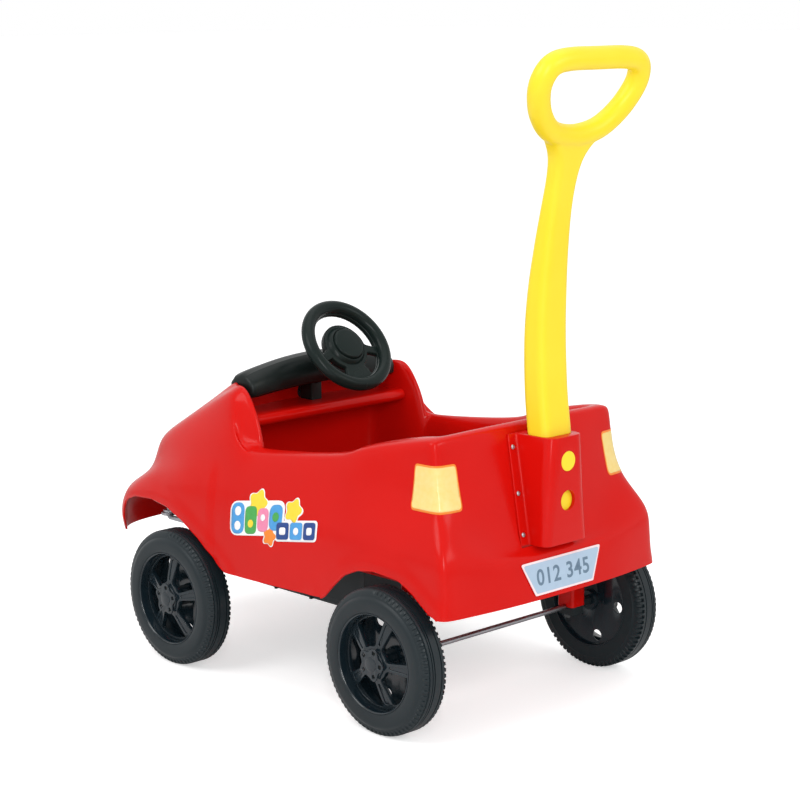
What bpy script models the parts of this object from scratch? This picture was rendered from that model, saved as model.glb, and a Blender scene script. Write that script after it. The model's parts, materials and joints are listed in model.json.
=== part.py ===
"""Kids ride-on car: moulded body, steering gear, four wheels and a push handle.

Run with: blender --background --python part.py
Units are metres, +Z is up, the car's front faces -Y and its left side is +X.
"""
import math
from collections import namedtuple

import bmesh
import bpy
from mathutils import Matrix, Vector

# Driving dimensions
# Frame: the point midway between the axles stands this far behind the origin.
AXLE_MID_Y = 0.0100
RUN_GAP = 0.0003          # clearance between pieces that touch or turn on each other

# Wheels and axles
WHEEL_RADIUS = 0.105
WHEEL_WIDTH = 0.042
WHEELBASE = 0.4604
LENGTH = WHEELBASE / 0.4604   # the y values below are drawn for this wheelbase
WHEEL_OUTER_X = 0.2441    # outer edge of the tread from the car's centreline
LIP_PROUD = 0.0045        # the flat lip round the rim stands this far outside the tread
RIM_RADIUS = 0.0690
LIP_WIDTH = 0.0190
DISC_INSET = 0.0150       # the spoked disc's edge sits this far inside the lip
DISC_THICK = 0.0080
HUB_RADIUS = 0.0240
HUB_PROUD = 0.0003        # hub face outside the lip
SPOKE_COUNT = 5
SPOKE_HUB_HALF = 0.0080   # half width of a spoke at the hub and at the rim
SPOKE_RIM_HALF = 0.0092
SPOKE_TURN = {"front_left": -3.0, "rear_left": -19.0, "front_right": 20.0, "rear_right": 8.0}
TREAD_STEPS = 28
LUG_DEPTH = 0.0030
SHOULDER = 0.0090         # width of each lugged shoulder
ROD_RADIUS = 0.004        # every axle and steering rod is 8 mm steel
NUT_RADIUS = 0.0092
NUT_THICK = 0.0030
NUT_POCKET_DEPTH = 0.0085
NUT_POCKET_RADIUS = 0.0115
CAP_RADIUS = 0.0230
CAP_THICK = 0.0022
ROD_STICK_OUT = 0.0055    # past the wheel, into the hub's pocket
SPACER_RADIUS = 0.0078

# Steering
KINGPIN_X = 0.184
ARM_Z = 0.2105            # centreline of the forward arms
ARM_LENGTH = 0.072        # kingpin to tie rod pin
TIE_PIN_TOP = 0.2255
BEAM_HEIGHT = 0.016
BEAM_DEPTH = 0.044
BEAM_WALL = 0.003
KINGPIN_TUBE_RADIUS = 0.0075
KINGPIN_TUBE_Z = (0.132, 0.188)
COLLAR_RADIUS = 0.0085
COLLAR_THICK = 0.003
TIE_ROD_THICK = 0.004
TIE_ROD_WIDTH = 0.022
TIE_ROD_END = 0.013       # bar past the outer pins
TIE_SLOT_PLAY = 0.0006
YOKE_THICK = 0.003
YOKE_HALF_WIDTH = 0.0125
YOKE_FOOT_HALF = 0.026
YOKE_SLOT_HALF = 0.0050
CRANK_LENGTH = 0.026
STEER_ANGLE = 40.0        # steering wheel, each way
WHEEL_CENTRE = (0.0, -0.0870 * LENGTH, 0.4860)   # steering wheel centre
COLUMN_TILT = 38.0        # degrees between the column and the floor
STEER_RING_RADIUS = 0.0688
STEER_TUBE_RADIUS = 0.0104
STEER_HUB_RADIUS = 0.037
STEER_HUB_THICK = 0.021
STEER_SLEEVE_RADIUS = 0.0120
STEER_SLEEVE_LENGTH = 0.012
SPOKE_THICK = 0.0095
BUTTON_RADIUS = 0.0258
BUTTON_THICK = 0.0115
BUTTON_TRAVEL = 0.0025
BUTTON_POCKET = 0.0100
BUSH_RADIUS = 0.0090
BUSH_LENGTH = 0.024
BUSH_CLEAR = 0.0013       # bush to the dashboard's bearing block

# Body moulding
WALL = 0.0032
SKIN_KEEP = 0.39          # share of the smoothed skin's facets that stay
INNER_HALF = 0.1310       # inner wall's foot, half width at the back
ARCH_IN_X = 0.168         # the arches cut only the outer skin
SHELF_LIP = 0.018
SHELF_HALF = 0.1560
LEG_X = (0.150, 0.180)    # moulded legs that stand on the rear axle
LEG_DEPTH = 0.030
LEG_TOP = 0.270
LEG_WEB_X = INNER_HALF + 0.0025
LEG_WEB_DEPTH = 0.020
AXLE_CAP_DROP = 0.0125

# Dashboard
DASH_HALF = 0.1500
DASH_WALL = 0.003
DASH_DROOP = (0.0090, 0.0190)   # how much lower the pad's foot and its top are at its ends
DASH_FOOT_Z = 0.4240
DASH_TOP_Z = 0.4700
DASH_STATIONS = ((-1.0, 0.62), (-0.985, 0.86), (-0.93, 0.97), (-0.65, 1.0), (-0.30, 1.0),
                 (0.30, 1.0), (0.65, 1.0), (0.93, 0.97), (0.985, 0.86), (1.0, 0.62))
BOSS_RADIUS = 0.0100
BRACKET_HALF = 0.0105     # the column's bearing block, between the pad and the shelf
BRACKET_Y = (-0.1850 * LENGTH, -0.1570 * LENGTH)
SHELF_TOP = 0.3925
SHELF_Y = (-0.1990 * LENGTH, -0.1300 * LENGTH)

# Number plate, on the slope of the rear apron
PLATE_HEIGHT = 0.0485
PLATE_TOP_HALF = 0.083
PLATE_LOW_HALF = 0.060
PLATE_THICK = 0.0012
PLATE_TOP = (0.3560 * LENGTH, 0.2385)   # y and z of its upper edge
PLATE_SINK = 0.0006

# Push handle and its socket
SHAFT_WIDTH = 0.058
HANDLE_END_Z = 0.300
GRIP_FOOT_Z = 0.826       # foot of the grip loop, 0.121 under its top
LOOP_TUBE = 0.0160
SOCKET_BACK_Y = 0.3685 * LENGTH
SOCKET_WALL = 0.0035
SOCKET_Z = (0.2575, 0.410)
SOCKET_TOP_HALF = 0.0335
SOCKET_LOW_HALF = 0.0450
FLANGE_TOP_HALF = 0.0500
FLANGE_LOW_HALF = 0.0620
FLANGE_THICK = 0.003
SOCKET_CORNER = 0.012
SOCKET_SEAT_TOP = (0.2975 * LENGTH, 0.4060)   # y and z of the panel that the flange seats on
SOCKET_SEAT_LOW = (0.3335 * LENGTH, 0.2620)
PLUG_RADIUS = 0.0142
PLUG_Z = (0.375, 0.319)   # locking plug, and the open hole under it
SCREW_RADIUS = 0.0036
SCREW_HEIGHT = 0.0018

# Floor tray and seat
FOOT_Z = 0.200            # lower edge of the cockpit's inner wall
TRAY_HALF_WIDTH = 0.142
TRAY_BOTTOM = 0.1235
TRAY_WALL = 0.003
TRAY_FRONT_GAP = 0.0307   # the tray starts this far behind the front axle
TRAY_BACK = 0.100 * LENGTH
TRAY_FLANGE_FRONT = -0.105 * LENGTH
TRAY_ROUND = 0.014
TRAY_FLANGE = TRAY_HALF_WIDTH + 0.021
BEAM_SHELF_HALF = 0.085
SEAT_CLEAR = 0.0045
SEAT_WALL = 0.003
SEAT_FLANGE = 0.158

SEAT_HALF_WIDTH = INNER_HALF - SEAT_CLEAR
FRONT_Y = -WHEELBASE / 2
REAR_Y = WHEELBASE / 2
AXLE_Z = WHEEL_RADIUS
WHEEL_INNER_X = WHEEL_OUTER_X - WHEEL_WIDTH
HUB_OUTER_X = WHEEL_OUTER_X + LIP_PROUD + HUB_PROUD
NUT_FACE_X = HUB_OUTER_X - NUT_POCKET_DEPTH
AXLE_END_X = NUT_FACE_X + ROD_STICK_OUT
BORE_RADIUS = ROD_RADIUS + RUN_GAP
FLANGE_TOP_Z = FOOT_Z - RUN_GAP
TRAY_FRONT = FRONT_Y + TRAY_FRONT_GAP
TIE_Y = FRONT_Y - ARM_LENGTH
TIE_ROD_Z = ARM_Z + ROD_RADIUS + 0.0007
BEAM_Z = 0.1398           # underside of the front axle beam
# a shorter car has a steeper column, so that the crank stays under the hood
TILT = math.atan(math.tan(math.radians(COLUMN_TILT)) / LENGTH)
# down the column to where the crank pin crosses the yoke
CRANK_AT = (WHEEL_CENTRE[1] - TIE_Y - CRANK_LENGTH * math.sin(TILT)) / math.cos(TILT)
# down the column to its lower bush, just ahead of the dashboard's bearing block
BUSH_AT = (WHEEL_CENTRE[1] - BRACKET_Y[0] + BUSH_RADIUS * math.sin(TILT) + BUSH_CLEAR) / math.cos(TILT)
STEER_SWING = math.radians(STEER_ANGLE)
KNUCKLE_SWING = math.asin(CRANK_LENGTH * math.sin(STEER_SWING) / ARM_LENGTH)
SIDES = (("left", 1), ("right", -1))
SMOOTH_ANGLE = math.radians(35)

RED = (0.745, 0.017, 0.013)
YELLOW = (0.95, 0.80, 0.025)
BLACK = (0.022, 0.027, 0.030)
STEEL = (0.55, 0.55, 0.57)
CREAM = (0.93, 0.80, 0.35)
PALE_BLUE = (0.56, 0.64, 0.79)


# Helpers
def clear_scene():
    for old in list(bpy.data.objects):
        bpy.data.objects.remove(old, do_unlink=True)


clear_scene()
PARTS = bpy.data.collections.new("kids_ride_on_car")
CUTTERS = bpy.data.collections.new("cutters")
bpy.context.scene.collection.children.link(PARTS)
bpy.context.scene.collection.children.link(CUTTERS)


def make_material(name, colour, roughness, metallic=0.0):
    material = bpy.data.materials.new(name)
    material.use_nodes = True
    shader = material.node_tree.nodes["Principled BSDF"]
    shader.inputs["Base Color"].default_value = (*colour, 1.0)
    shader.inputs["Roughness"].default_value = roughness
    shader.inputs["Metallic"].default_value = metallic
    return material


def make_empty(name, location, parent=None):
    empty = bpy.data.objects.new(name, None)
    empty.empty_display_size = 0.03
    empty.location = location
    empty.parent = parent
    PARTS.objects.link(empty)
    return empty


CAR = make_empty("axle_midpoint", (0.0, AXLE_MID_Y, 0.0))


def add_object(name, mesh, colour, roughness=0.35, metallic=0.0, parent=CAR, location=(0, 0, 0)):
    """A named part in its own material, hung on an empty."""
    part = bpy.data.objects.new(name, mesh)
    part.parent = parent
    part.location = location
    part.data.materials.clear()
    part.data.materials.append(make_material(name, colour, roughness, metallic))
    PARTS.objects.link(part)
    return part


def add_cutter(name, mesh, parent=CAR, location=(0, 0, 0)):
    cutter = bpy.data.objects.new(name, mesh)
    cutter.parent = parent
    cutter.location = location
    cutter.hide_render = True
    cutter.display_type = 'WIRE'
    CUTTERS.objects.link(cutter)
    return cutter


def to_mesh(name, bm, recalc=True):
    if recalc:
        bmesh.ops.recalc_face_normals(bm, faces=bm.faces)
    mesh = bpy.data.meshes.new(name)
    bm.to_mesh(mesh)
    bm.free()
    mesh.shade_smooth()
    mesh.set_sharp_from_angle(angle=SMOOTH_ANGLE)
    return mesh


def boolean(part, cutter, operation='DIFFERENCE'):
    modifier = part.modifiers.new(cutter.name, 'BOOLEAN')
    modifier.operation = operation
    modifier.solver = 'EXACT'
    modifier.object = cutter


def aim(direction):
    """Rotation that turns +Z to the given direction."""
    return Vector(direction).to_track_quat('Z', 'Y').to_matrix().to_4x4()


def add_box(bm, low, high):
    size = [high[i] - low[i] for i in range(3)]
    centre = [(high[i] + low[i]) / 2 for i in range(3)]
    matrix = Matrix.Translation(centre) @ Matrix.Diagonal((*size, 1.0))
    return bmesh.ops.create_cube(bm, size=1.0, matrix=matrix)["verts"]


def add_cylinder(bm, start, end, radius, segments=24, end_radius=None):
    start = Vector(start)
    end = Vector(end)
    axis = end - start
    matrix = Matrix.Translation((start + end) / 2) @ aim(axis)
    return bmesh.ops.create_cone(
        bm, cap_ends=True, segments=segments, radius1=radius,
        radius2=radius if end_radius is None else end_radius,
        depth=axis.length, matrix=matrix)["verts"]


def add_screw(name, foot, direction):
    """A screw's domed head, standing on the surface at its foot."""
    top = Vector(foot) + Vector(direction) * SCREW_HEIGHT
    head = cylinder_mesh(name, foot, top, SCREW_RADIUS, 6, SCREW_RADIUS * 0.6)
    add_object(name, head, STEEL, 0.3, 1.0)


def box_mesh(name, low, high, bevel=0.0, segments=2):
    bm = bmesh.new()
    add_box(bm, low, high)
    if bevel:
        bmesh.ops.bevel(bm, geom=bm.edges[:], offset=bevel, segments=segments,
                        profile=0.5, affect='EDGES', clamp_overlap=True)
    return to_mesh(name, bm)


def cylinder_mesh(name, start, end, radius, segments=24, end_radius=None):
    bm = bmesh.new()
    add_cylinder(bm, start, end, radius, segments, end_radius)
    return to_mesh(name, bm)


def prism_mesh(name, outline, axis, low, high):
    """A closed outline, pairs across the axis, pushed from low to high along it."""
    bm = bmesh.new()
    if axis == 'X':
        verts = [bm.verts.new((low, a, b)) for a, b in outline]
        step = Vector((high - low, 0, 0))
    elif axis == 'Y':
        verts = [bm.verts.new((a, low, b)) for a, b in outline]
        step = Vector((0, high - low, 0))
    else:
        verts = [bm.verts.new((a, b, low)) for a, b in outline]
        step = Vector((0, 0, high - low))
    face = bm.faces.new(verts)
    new = bmesh.ops.extrude_face_region(bm, geom=[face])["geom"]
    bmesh.ops.translate(bm, vec=step, verts=[v for v in new if isinstance(v, bmesh.types.BMVert)])
    return to_mesh(name, bm)


def arc(centre, radius, start, end, count):
    """Points on an arc, angles in degrees from the first axis."""
    points = []
    for i in range(count + 1):
        angle = math.radians(start + (end - start) * i / count)
        points.append((centre[0] + radius * math.cos(angle), centre[1] + radius * math.sin(angle)))
    return points


def smooth_path(points, fillets, steps=4):
    """A polyline with each inner corner rounded to its fillet radius."""
    points = [Vector(p) for p in points]
    path = [points[0]]
    for before, corner, after, fillet in zip(points, points[1:], points[2:], fillets):
        into = (before - corner).normalized()
        out = (after - corner).normalized()
        half = into.angle(out) / 2
        reach = fillet / math.tan(half)
        centre = corner + (into + out).normalized() * (fillet / math.sin(half))
        first = corner + into * reach - centre
        last = corner + out * reach - centre
        for i in range(steps + 1):
            path.append(centre + first.slerp(last, i / steps) * fillet)
    path.append(points[-1])
    return path


def tube_mesh(name, path, radius, resolution=2, cyclic=False):
    """A round bar along a path, as a filled curve turned into a mesh."""
    curve = bpy.data.curves.new(name, 'CURVE')
    curve.dimensions = '3D'
    curve.bevel_depth = radius
    curve.bevel_resolution = resolution
    curve.use_fill_caps = True
    spline = curve.splines.new('POLY')
    spline.points.add(len(path) - 1)
    for point, at in zip(spline.points, path):
        point.co = (*at, 1.0)
    spline.use_cyclic_u = cyclic
    holder = bpy.data.objects.new(name + "_curve", curve)
    mesh = bpy.data.meshes.new_from_object(holder)
    bpy.data.objects.remove(holder)
    bpy.data.curves.remove(curve)
    bm = bmesh.new()
    bm.from_mesh(mesh)
    bpy.data.meshes.remove(mesh)
    bmesh.ops.remove_doubles(bm, verts=bm.verts, dist=0.00001)
    return to_mesh(name, bm)


# Body shell
# The skin is a cage of closed rings, from the lower edge up the outside, over the
# hood or the rim, and down the inner wall of the cockpit. Each ring is a plan
# outline: where its front and back lie, its half widths, and its heights.
Ring = namedtuple("Ring", "front back back_mid w_nose w_wing w_mid w_rear "
                          "z_nose z_wing z_pillar z_sill z_rear z_back_mid")
RINGS = (
    # lower edge
    Ring(-0.436, 0.3560, 0.3640, 0.193, 0.217, 0.2235, 0.2130, 0.174, 0.180, 0.166, 0.1630, 0.1830, 0.184),
    # widest line, through the bumpers
    Ring(-0.456, 0.3510, 0.3560, 0.201, 0.221, 0.2225, 0.2110, 0.206, 0.232, 0.232, 0.2300, 0.2360, 0.239),
    # top of the wings, where they turn in
    Ring(-0.442, 0.3490, 0.3530, 0.195, 0.219, 0.2190, 0.2075, 0.252, 0.283, 0.285, 0.2720, 0.2695, 0.2475),
    # foot of the hood, and foot of the upper body behind the rear wings
    Ring(-0.402, 0.3120, 0.3355, 0.174, 0.206, 0.2120, 0.1810, 0.270, 0.312, 0.320, 0.3070, 0.3160, 0.256),
    # top of the hood's front face, and the side under the rim
    Ring(-0.386, 0.3000, 0.3108, 0.168, 0.195, 0.2060, 0.1750, 0.324, 0.353, 0.353, 0.3320, 0.3660, 0.356),
    # shoulder of the hood, and outer edge of the rim
    Ring(-0.338, 0.2930, 0.2965, 0.163, 0.185, 0.1985, 0.1705, 0.353, 0.374, 0.378, 0.3455, 0.4120, 0.414),
    # hood, and the rim's outer and inner top edges
    Ring(-0.268, 0.2900, 0.2930, 0.158, 0.1785, 0.1950, 0.1678, 0.392, 0.404, 0.398, 0.3525, 0.4185, 0.4205),
    Ring(-0.222, 0.2790, 0.2820, 0.153, 0.170, 0.1810, 0.1560, 0.420, 0.424, 0.402, 0.3555, 0.4215, 0.4235),
    # back edge of the hood, and inner edge of the rim
    Ring(-0.180, 0.2700, 0.2730, 0.150, 0.163, 0.1730, 0.1480, 0.447, 0.440, 0.404, 0.3525, 0.4160, 0.418),
    # inner wall
    Ring(-0.197, 0.2590, 0.2620, 0.141, 0.154, 0.1630, INNER_HALF + 0.007, 0.420, 0.410, 0.378, 0.3310,
         0.3890, 0.391),
    # foot of the inner wall
    Ring(-0.205, 0.2410, 0.2450, 0.141, 0.150, 0.1550, INNER_HALF, *[FOOT_Z] * 6),
)
# the door pillar's face, by ring and column: its outer crease and its inner edge
PILLAR = {
    (6, 5): (0.1835, -0.1470, 0.4330), (6, 6): (0.1880, -0.1340, 0.4040), (6, 7): (0.1920, -0.1310, 0.3720),
    (6, 8): (0.1945, -0.1130, 0.3480), (6, 9): (0.1950, -0.0720, 0.3500),
    (7, 5): (0.1750, -0.1385, 0.4400), (7, 6): (0.1795, -0.1260, 0.4080), (7, 7): (0.1815, -0.1210, 0.3780),
    (7, 8): (0.1815, -0.1040, 0.3555), (7, 9): (0.1810, -0.0700, 0.3550),
    (8, 5): (0.1640, -0.1290, 0.4440), (8, 6): (0.1690, -0.1010, 0.4110), (8, 7): (0.1725, -0.0885, 0.3800),
    (8, 8): (0.1732, -0.0852, 0.3530), (8, 9): (0.1732, -0.0640, 0.3520),
    (9, 5): (0.1540, -0.1350, 0.4150), (9, 6): (0.1590, -0.1050, 0.3850), (9, 7): (0.1630, -0.0900, 0.3500),
    (9, 8): (0.1635, -0.0870, 0.3300), (9, 9): (0.1635, -0.0640, 0.3300),
}
BODY_FRONT = RINGS[0].front
SILL_Y = -0.060           # columns ahead of here crowd back as the hood climbs
SIDE_COLUMNS_Y = (-0.255, -0.172, -0.122, -0.088, -0.055, 0.040, 0.118, 0.139)
# behind the pillar: how far in towards the rear width, and how far up to the back's height
SIDE_ACROSS = (0.02, 0.10, 0.27, 0.34, 0.72, 0.975)
SILL_RISE = (0.02, 0.16, 0.34, 0.53, 0.74, 0.975)
CORNER_BACK = (0.090, 0.022)   # the last two columns ahead of the rear corner


def mix(a, b, t):
    return a + (b - a) * t


def ring_points(index):
    """Half of a ring, from the nose's middle round the left side to the back's middle."""
    ring = RINGS[index]
    crowd = (ring.front - SILL_Y) / (BODY_FRONT - SILL_Y)
    side_y = [SILL_Y + (y - SILL_Y) * crowd if y < SILL_Y else y for y in SIDE_COLUMNS_Y]
    points = [
        (0.0, ring.front, ring.z_nose),
        (0.45 * ring.w_nose, ring.front + 0.003, ring.z_nose),
        (0.78 * ring.w_nose, ring.front + 0.011, ring.z_nose),
        (ring.w_nose, ring.front + 0.034 * crowd, ring.z_nose),
        (mix(ring.w_nose, ring.w_wing, 0.55), mix(ring.front, side_y[0], 0.50),
         mix(ring.z_nose, ring.z_wing, 0.6)),
        (ring.w_wing, side_y[0], ring.z_wing),
        (mix(ring.w_wing, ring.w_mid, 0.7), side_y[1], ring.z_pillar),
        (ring.w_mid, side_y[2], mix(ring.z_pillar, ring.z_sill, 0.6)),
        (ring.w_mid, side_y[3], ring.z_sill),
    ]
    rear_y = side_y[4:] + [ring.back - behind for behind in CORNER_BACK]
    for y, across, rise in zip(rear_y, SIDE_ACROSS, SILL_RISE):
        points.append((mix(ring.w_mid, ring.w_rear, across), y, mix(ring.z_sill, ring.z_rear, rise)))
    points += [
        (ring.w_rear, ring.back, ring.z_rear),
        (0.88 * ring.w_rear, ring.back + 0.001, mix(ring.z_rear, ring.z_back_mid, 0.06)),
        (0.58 * ring.w_rear, mix(ring.back, ring.back_mid, 0.80), mix(ring.z_rear, ring.z_back_mid, 0.88)),
        (0.27 * ring.w_rear, ring.back_mid, ring.z_back_mid),
        (0.0, ring.back_mid, ring.z_back_mid),
    ]
    points = [PILLAR.get((index, i), p) for i, p in enumerate(points)]
    return [(x, y * LENGTH, z) for x, y, z in points]


# Side outline of the wheel arches, y from the axle and z, above the axle's height
ARCH_FRONT = ((-0.260, 0.060), (-0.205, 0.100), (-0.170, 0.1290), (-0.130, 0.1390), (-0.075, 0.1400),
              (-0.030, 0.1360), (0.012, 0.1230), (0.052, 0.1020), (0.080, 0.0830), (0.099, 0.0670),
              (0.114, 0.0590), (0.116, 0.020), (-0.260, 0.020))
ARCH_REAR = ((-0.148, 0.020), (-0.146, 0.0585), (-0.126, 0.0660), (-0.108, 0.0850), (-0.084, 0.1070),
             (-0.056, 0.1190), (-0.024, 0.1235), (0.026, 0.1200), (0.054, 0.1060), (0.086, 0.0840),
             (0.102, 0.0790), (0.110, 0.020))


def column_point(distance, drop=0.0):
    """A point down the column from the steering wheel's centre, and out along the crank."""
    y = WHEEL_CENTRE[1] - distance * math.cos(TILT) - drop * math.sin(TILT)
    z = WHEEL_CENTRE[2] - distance * math.sin(TILT) + drop * math.cos(TILT)
    return (0.0, y, z)


def dash_sections(grow=0.0):
    """Cross-sections of the dashboard pad, from its right end to its left end."""
    foot = DASH_FOOT_Z
    rise = DASH_TOP_Z - foot
    profile = ((-0.1390, 0.0), (-0.1345, 0.11), (-0.1335, 0.46), (-0.1390, 0.74),
               (-0.1510, 0.957), (-0.1650, 1.0), (-0.1800, 0.87), (-0.1900, 0.565),
               (-0.1900, 0.196), (-0.1840, 0.0))
    centre = Vector((-0.1630 * LENGTH, foot + 0.457 * rise))
    outline = [Vector((y * LENGTH, foot + share * rise)) for y, share in profile]
    sections = []
    for share, shrink in DASH_STATIONS:
        x = share * (DASH_HALF + grow)
        loop = []
        for before, point, after in zip(outline[-1:] + outline[:-1], outline, outline[1:] + outline[:1]):
            out = Vector((after.y - before.y, before.x - after.x)).normalized()
            if out.dot(point - centre) < 0:
                out = -out
            y, z = centre + (point - centre) * shrink + out * grow
            droop = mix(*DASH_DROOP, (z - foot) / rise) * share * share
            loop.append((x, y, z - droop))
        sections.append(loop)
    return sections


def loft_mesh(name, sections):
    """Closed loops of equal count joined into one body with flat ends."""
    bm = bmesh.new()
    loops = [[bm.verts.new(p) for p in section] for section in sections]
    count = len(loops[0])
    for lower, upper in zip(loops, loops[1:]):
        for i in range(count):
            j = (i + 1) % count
            bm.faces.new((lower[i], lower[j], upper[j], upper[i]))
    bm.faces.new(loops[0])
    bm.faces.new(loops[-1])
    return to_mesh(name, bm)


def slab_mesh(name, top, low, half_top, half_low, front, back):
    """A tapered slab on the slope from top to low, both (y, z), from front to back off it."""
    slope = Vector((0, low[0] - top[0], low[1] - top[1])).normalized()
    normal = Vector((0, -slope.z, slope.y))
    corners = []
    for (y, z), half in ((top, half_top), (low, half_low)):
        corners.append((Vector((-half, y, z)), Vector((half, y, z))))
    (a, b), (d, c) = corners
    loops = [[p + normal * off for p in (a, b, c, d)] for off in (front, back)]
    return loft_mesh(name, loops)


def mirrored(outline):
    """An outline of its right half, completed across x = 0."""
    return list(outline) + [(-x, y) for x, y in reversed(outline)]


def rounded_box_mesh(name, low, high, radius, axis, segments=3):
    """A box whose four edges along one axis are rounded."""
    bm = bmesh.new()
    add_box(bm, low, high)
    index = "XYZ".index(axis)
    edges = [e for e in bm.edges
             if abs((e.verts[0].co - e.verts[1].co)[index]) > 0.5 * (high[index] - low[index])]
    bmesh.ops.bevel(bm, geom=edges, offset=radius, segments=segments, profile=0.5, affect='EDGES')
    return to_mesh(name, bm)


def make_body():
    bm = bmesh.new()
    rings = [[bm.verts.new(p) for p in ring_points(i)] for i in range(len(RINGS))]
    for lower, upper in zip(rings, rings[1:]):
        for a, b, c, d in zip(lower, lower[1:], upper[1:], upper):
            bm.faces.new((a, b, c, d))
    mesh = to_mesh("body_shell", bm, recalc=False)
    body = add_object("body_shell", mesh, RED, 0.22)
    mirror = body.modifiers.new("mirror", 'MIRROR')
    mirror.use_axis = (True, False, False)
    mirror.use_clip = True
    mirror.merge_threshold = 0.0001
    smooth = body.modifiers.new("smooth", 'SUBSURF')
    smooth.levels = 1
    smooth.render_levels = 1
    thin_out = body.modifiers.new("thin_out", 'DECIMATE')
    thin_out.ratio = SKIN_KEEP
    thin_out.use_collapse_triangulate = True
    thin_out.use_symmetry = True
    thin_out.symmetry_axis = 'X'
    wall = body.modifiers.new("wall", 'SOLIDIFY')
    wall.thickness = WALL
    wall.offset = -1.0
    wall.use_even_offset = True
    for name, side in SIDES:
        for outline, y, end in ((ARCH_FRONT, FRONT_Y, "front"), (ARCH_REAR, REAR_Y, "rear")):
            shape = [(y + a, AXLE_Z + b) for a, b in outline]
            low, high = sorted((side * ARCH_IN_X, side * 0.30))
            cutter = prism_mesh(f"arch_{end}_{name}", shape, 'X', low, high)
            boolean(body, add_cutter(f"arch_{end}_{name}", cutter))
    # cross shelf under the dashboard, with a rounded lip
    top = SHELF_TOP
    radius = SHELF_LIP / 2
    front, back = SHELF_Y
    shelf = arc((back, top - radius), radius, -90, 90, 4)
    shelf += [(front, top), (front, top - WALL), (back, top - WALL)]
    shelf += arc((back, top - radius), radius - WALL, 60, -60, 2)
    boolean(body, add_cutter("shelf", prism_mesh("shelf", shelf, 'X', -SHELF_HALF, SHELF_HALF)), 'UNION')
    # legs that stand on the rear axle
    for name, side in SIDES:
        low, high = sorted((side * LEG_X[0], side * LEG_X[1]))
        half = LEG_DEPTH / 2
        leg = rounded_box_mesh(f"leg_{name}", (low, REAR_Y - half, AXLE_Z + RUN_GAP),
                               (high, REAR_Y + half, LEG_TOP), 0.005, 'Z', 2)
        boolean(body, add_cutter(f"leg_{name}", leg), 'UNION')
        low, high = sorted((side * LEG_WEB_X, side * (LEG_X[0] + 0.004)))
        half = LEG_WEB_DEPTH / 2
        web = box_mesh(f"leg_web_{name}", (low, REAR_Y - half, FOOT_Z + 0.002),
                       (high, REAR_Y + half, LEG_TOP - 0.006))
        boolean(body, add_cutter(f"leg_web_{name}", web), 'UNION')
    axle = cylinder_mesh("axle_bore", (-0.2, REAR_Y, AXLE_Z), (0.2, REAR_Y, AXLE_Z), BORE_RADIUS)
    boolean(body, add_cutter("axle_bore", axle))
    # seat for the dashboard, hole for the column bush, flats for the socket and the plate
    boolean(body, add_cutter("dash_seat", loft_mesh("dash_seat", dash_sections(RUN_GAP))))
    hole = cylinder_mesh("column_hole", column_point(BUSH_AT - 0.013),
                         column_point(BUSH_AT + BUSH_LENGTH + 0.043), BUSH_RADIUS + RUN_GAP, 20)
    boolean(body, add_cutter("column_hole", hole))
    below = tuple(low + (low - top) * 0.05 for top, low in zip(SOCKET_SEAT_TOP, SOCKET_SEAT_LOW))
    above = tuple(top + (top - low) * 0.04 for top, low in zip(SOCKET_SEAT_TOP, SOCKET_SEAT_LOW))
    flat = slab_mesh("socket_flat", above, below,
                     FLANGE_TOP_HALF + 0.002, FLANGE_LOW_HALF + 0.002, 0.0, 0.030)
    boolean(body, add_cutter("socket_flat", flat))
    boolean(body, add_cutter("plate_flat", plate_mesh("plate_flat", 0.0006, 0.0, 0.010)))
    return body


def plate_mesh(name, grow, front, back):
    """The number plate's trapezoid on the apron, from front to back off its seat."""
    slope_y = 0.008 / PLATE_HEIGHT
    top = Vector((0, PLATE_TOP[0] - PLATE_SINK, PLATE_TOP[1]))
    down = Vector((0, slope_y, -1)).normalized()
    normal = Vector((0, -down.z, down.y))
    loops = []
    for off in (front, back):
        loop = []
        for half, reach in ((PLATE_TOP_HALF, -grow), (PLATE_LOW_HALF, PLATE_HEIGHT + grow)):
            point = top + down * reach + normal * off
            for x in (-half - grow, half + grow) if half == PLATE_TOP_HALF else (half + grow, -half - grow):
                loop.append(point + Vector((x, 0, 0)))
        loops.append(loop)
    return loft_mesh(name, loops)


def make_plate():
    mesh = plate_mesh("number_plate", 0.0, RUN_GAP, RUN_GAP + PLATE_THICK)
    add_object("number_plate", mesh, PALE_BLUE, 0.35)


def make_dashboard():
    dash = add_object("dashboard", loft_mesh("dashboard", dash_sections()), BLACK, 0.35)
    inner = []
    for section in dash_sections(-DASH_WALL):
        inner.append([(x, y, z - 0.008 if i in (0, 9) else z) for i, (x, y, z) in enumerate(section)])
    boolean(dash, add_cutter("dash_hollow", loft_mesh("dash_hollow", inner)))
    block = box_mesh("dash_bracket", (-BRACKET_HALF, BRACKET_Y[0], SHELF_TOP + RUN_GAP),
                     (BRACKET_HALF, BRACKET_Y[1], 0.4685))
    boolean(dash, add_cutter("dash_bracket", block), 'UNION')
    boss = cylinder_mesh("dash_boss", column_point(0.0560), column_point(0.1000), BOSS_RADIUS, 20)
    boolean(dash, add_cutter("dash_boss", boss), 'UNION')
    bore = cylinder_mesh("dash_bore", column_point(0.0), column_point(0.16), BORE_RADIUS, 20)
    boolean(dash, add_cutter("dash_bore", bore))


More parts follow.
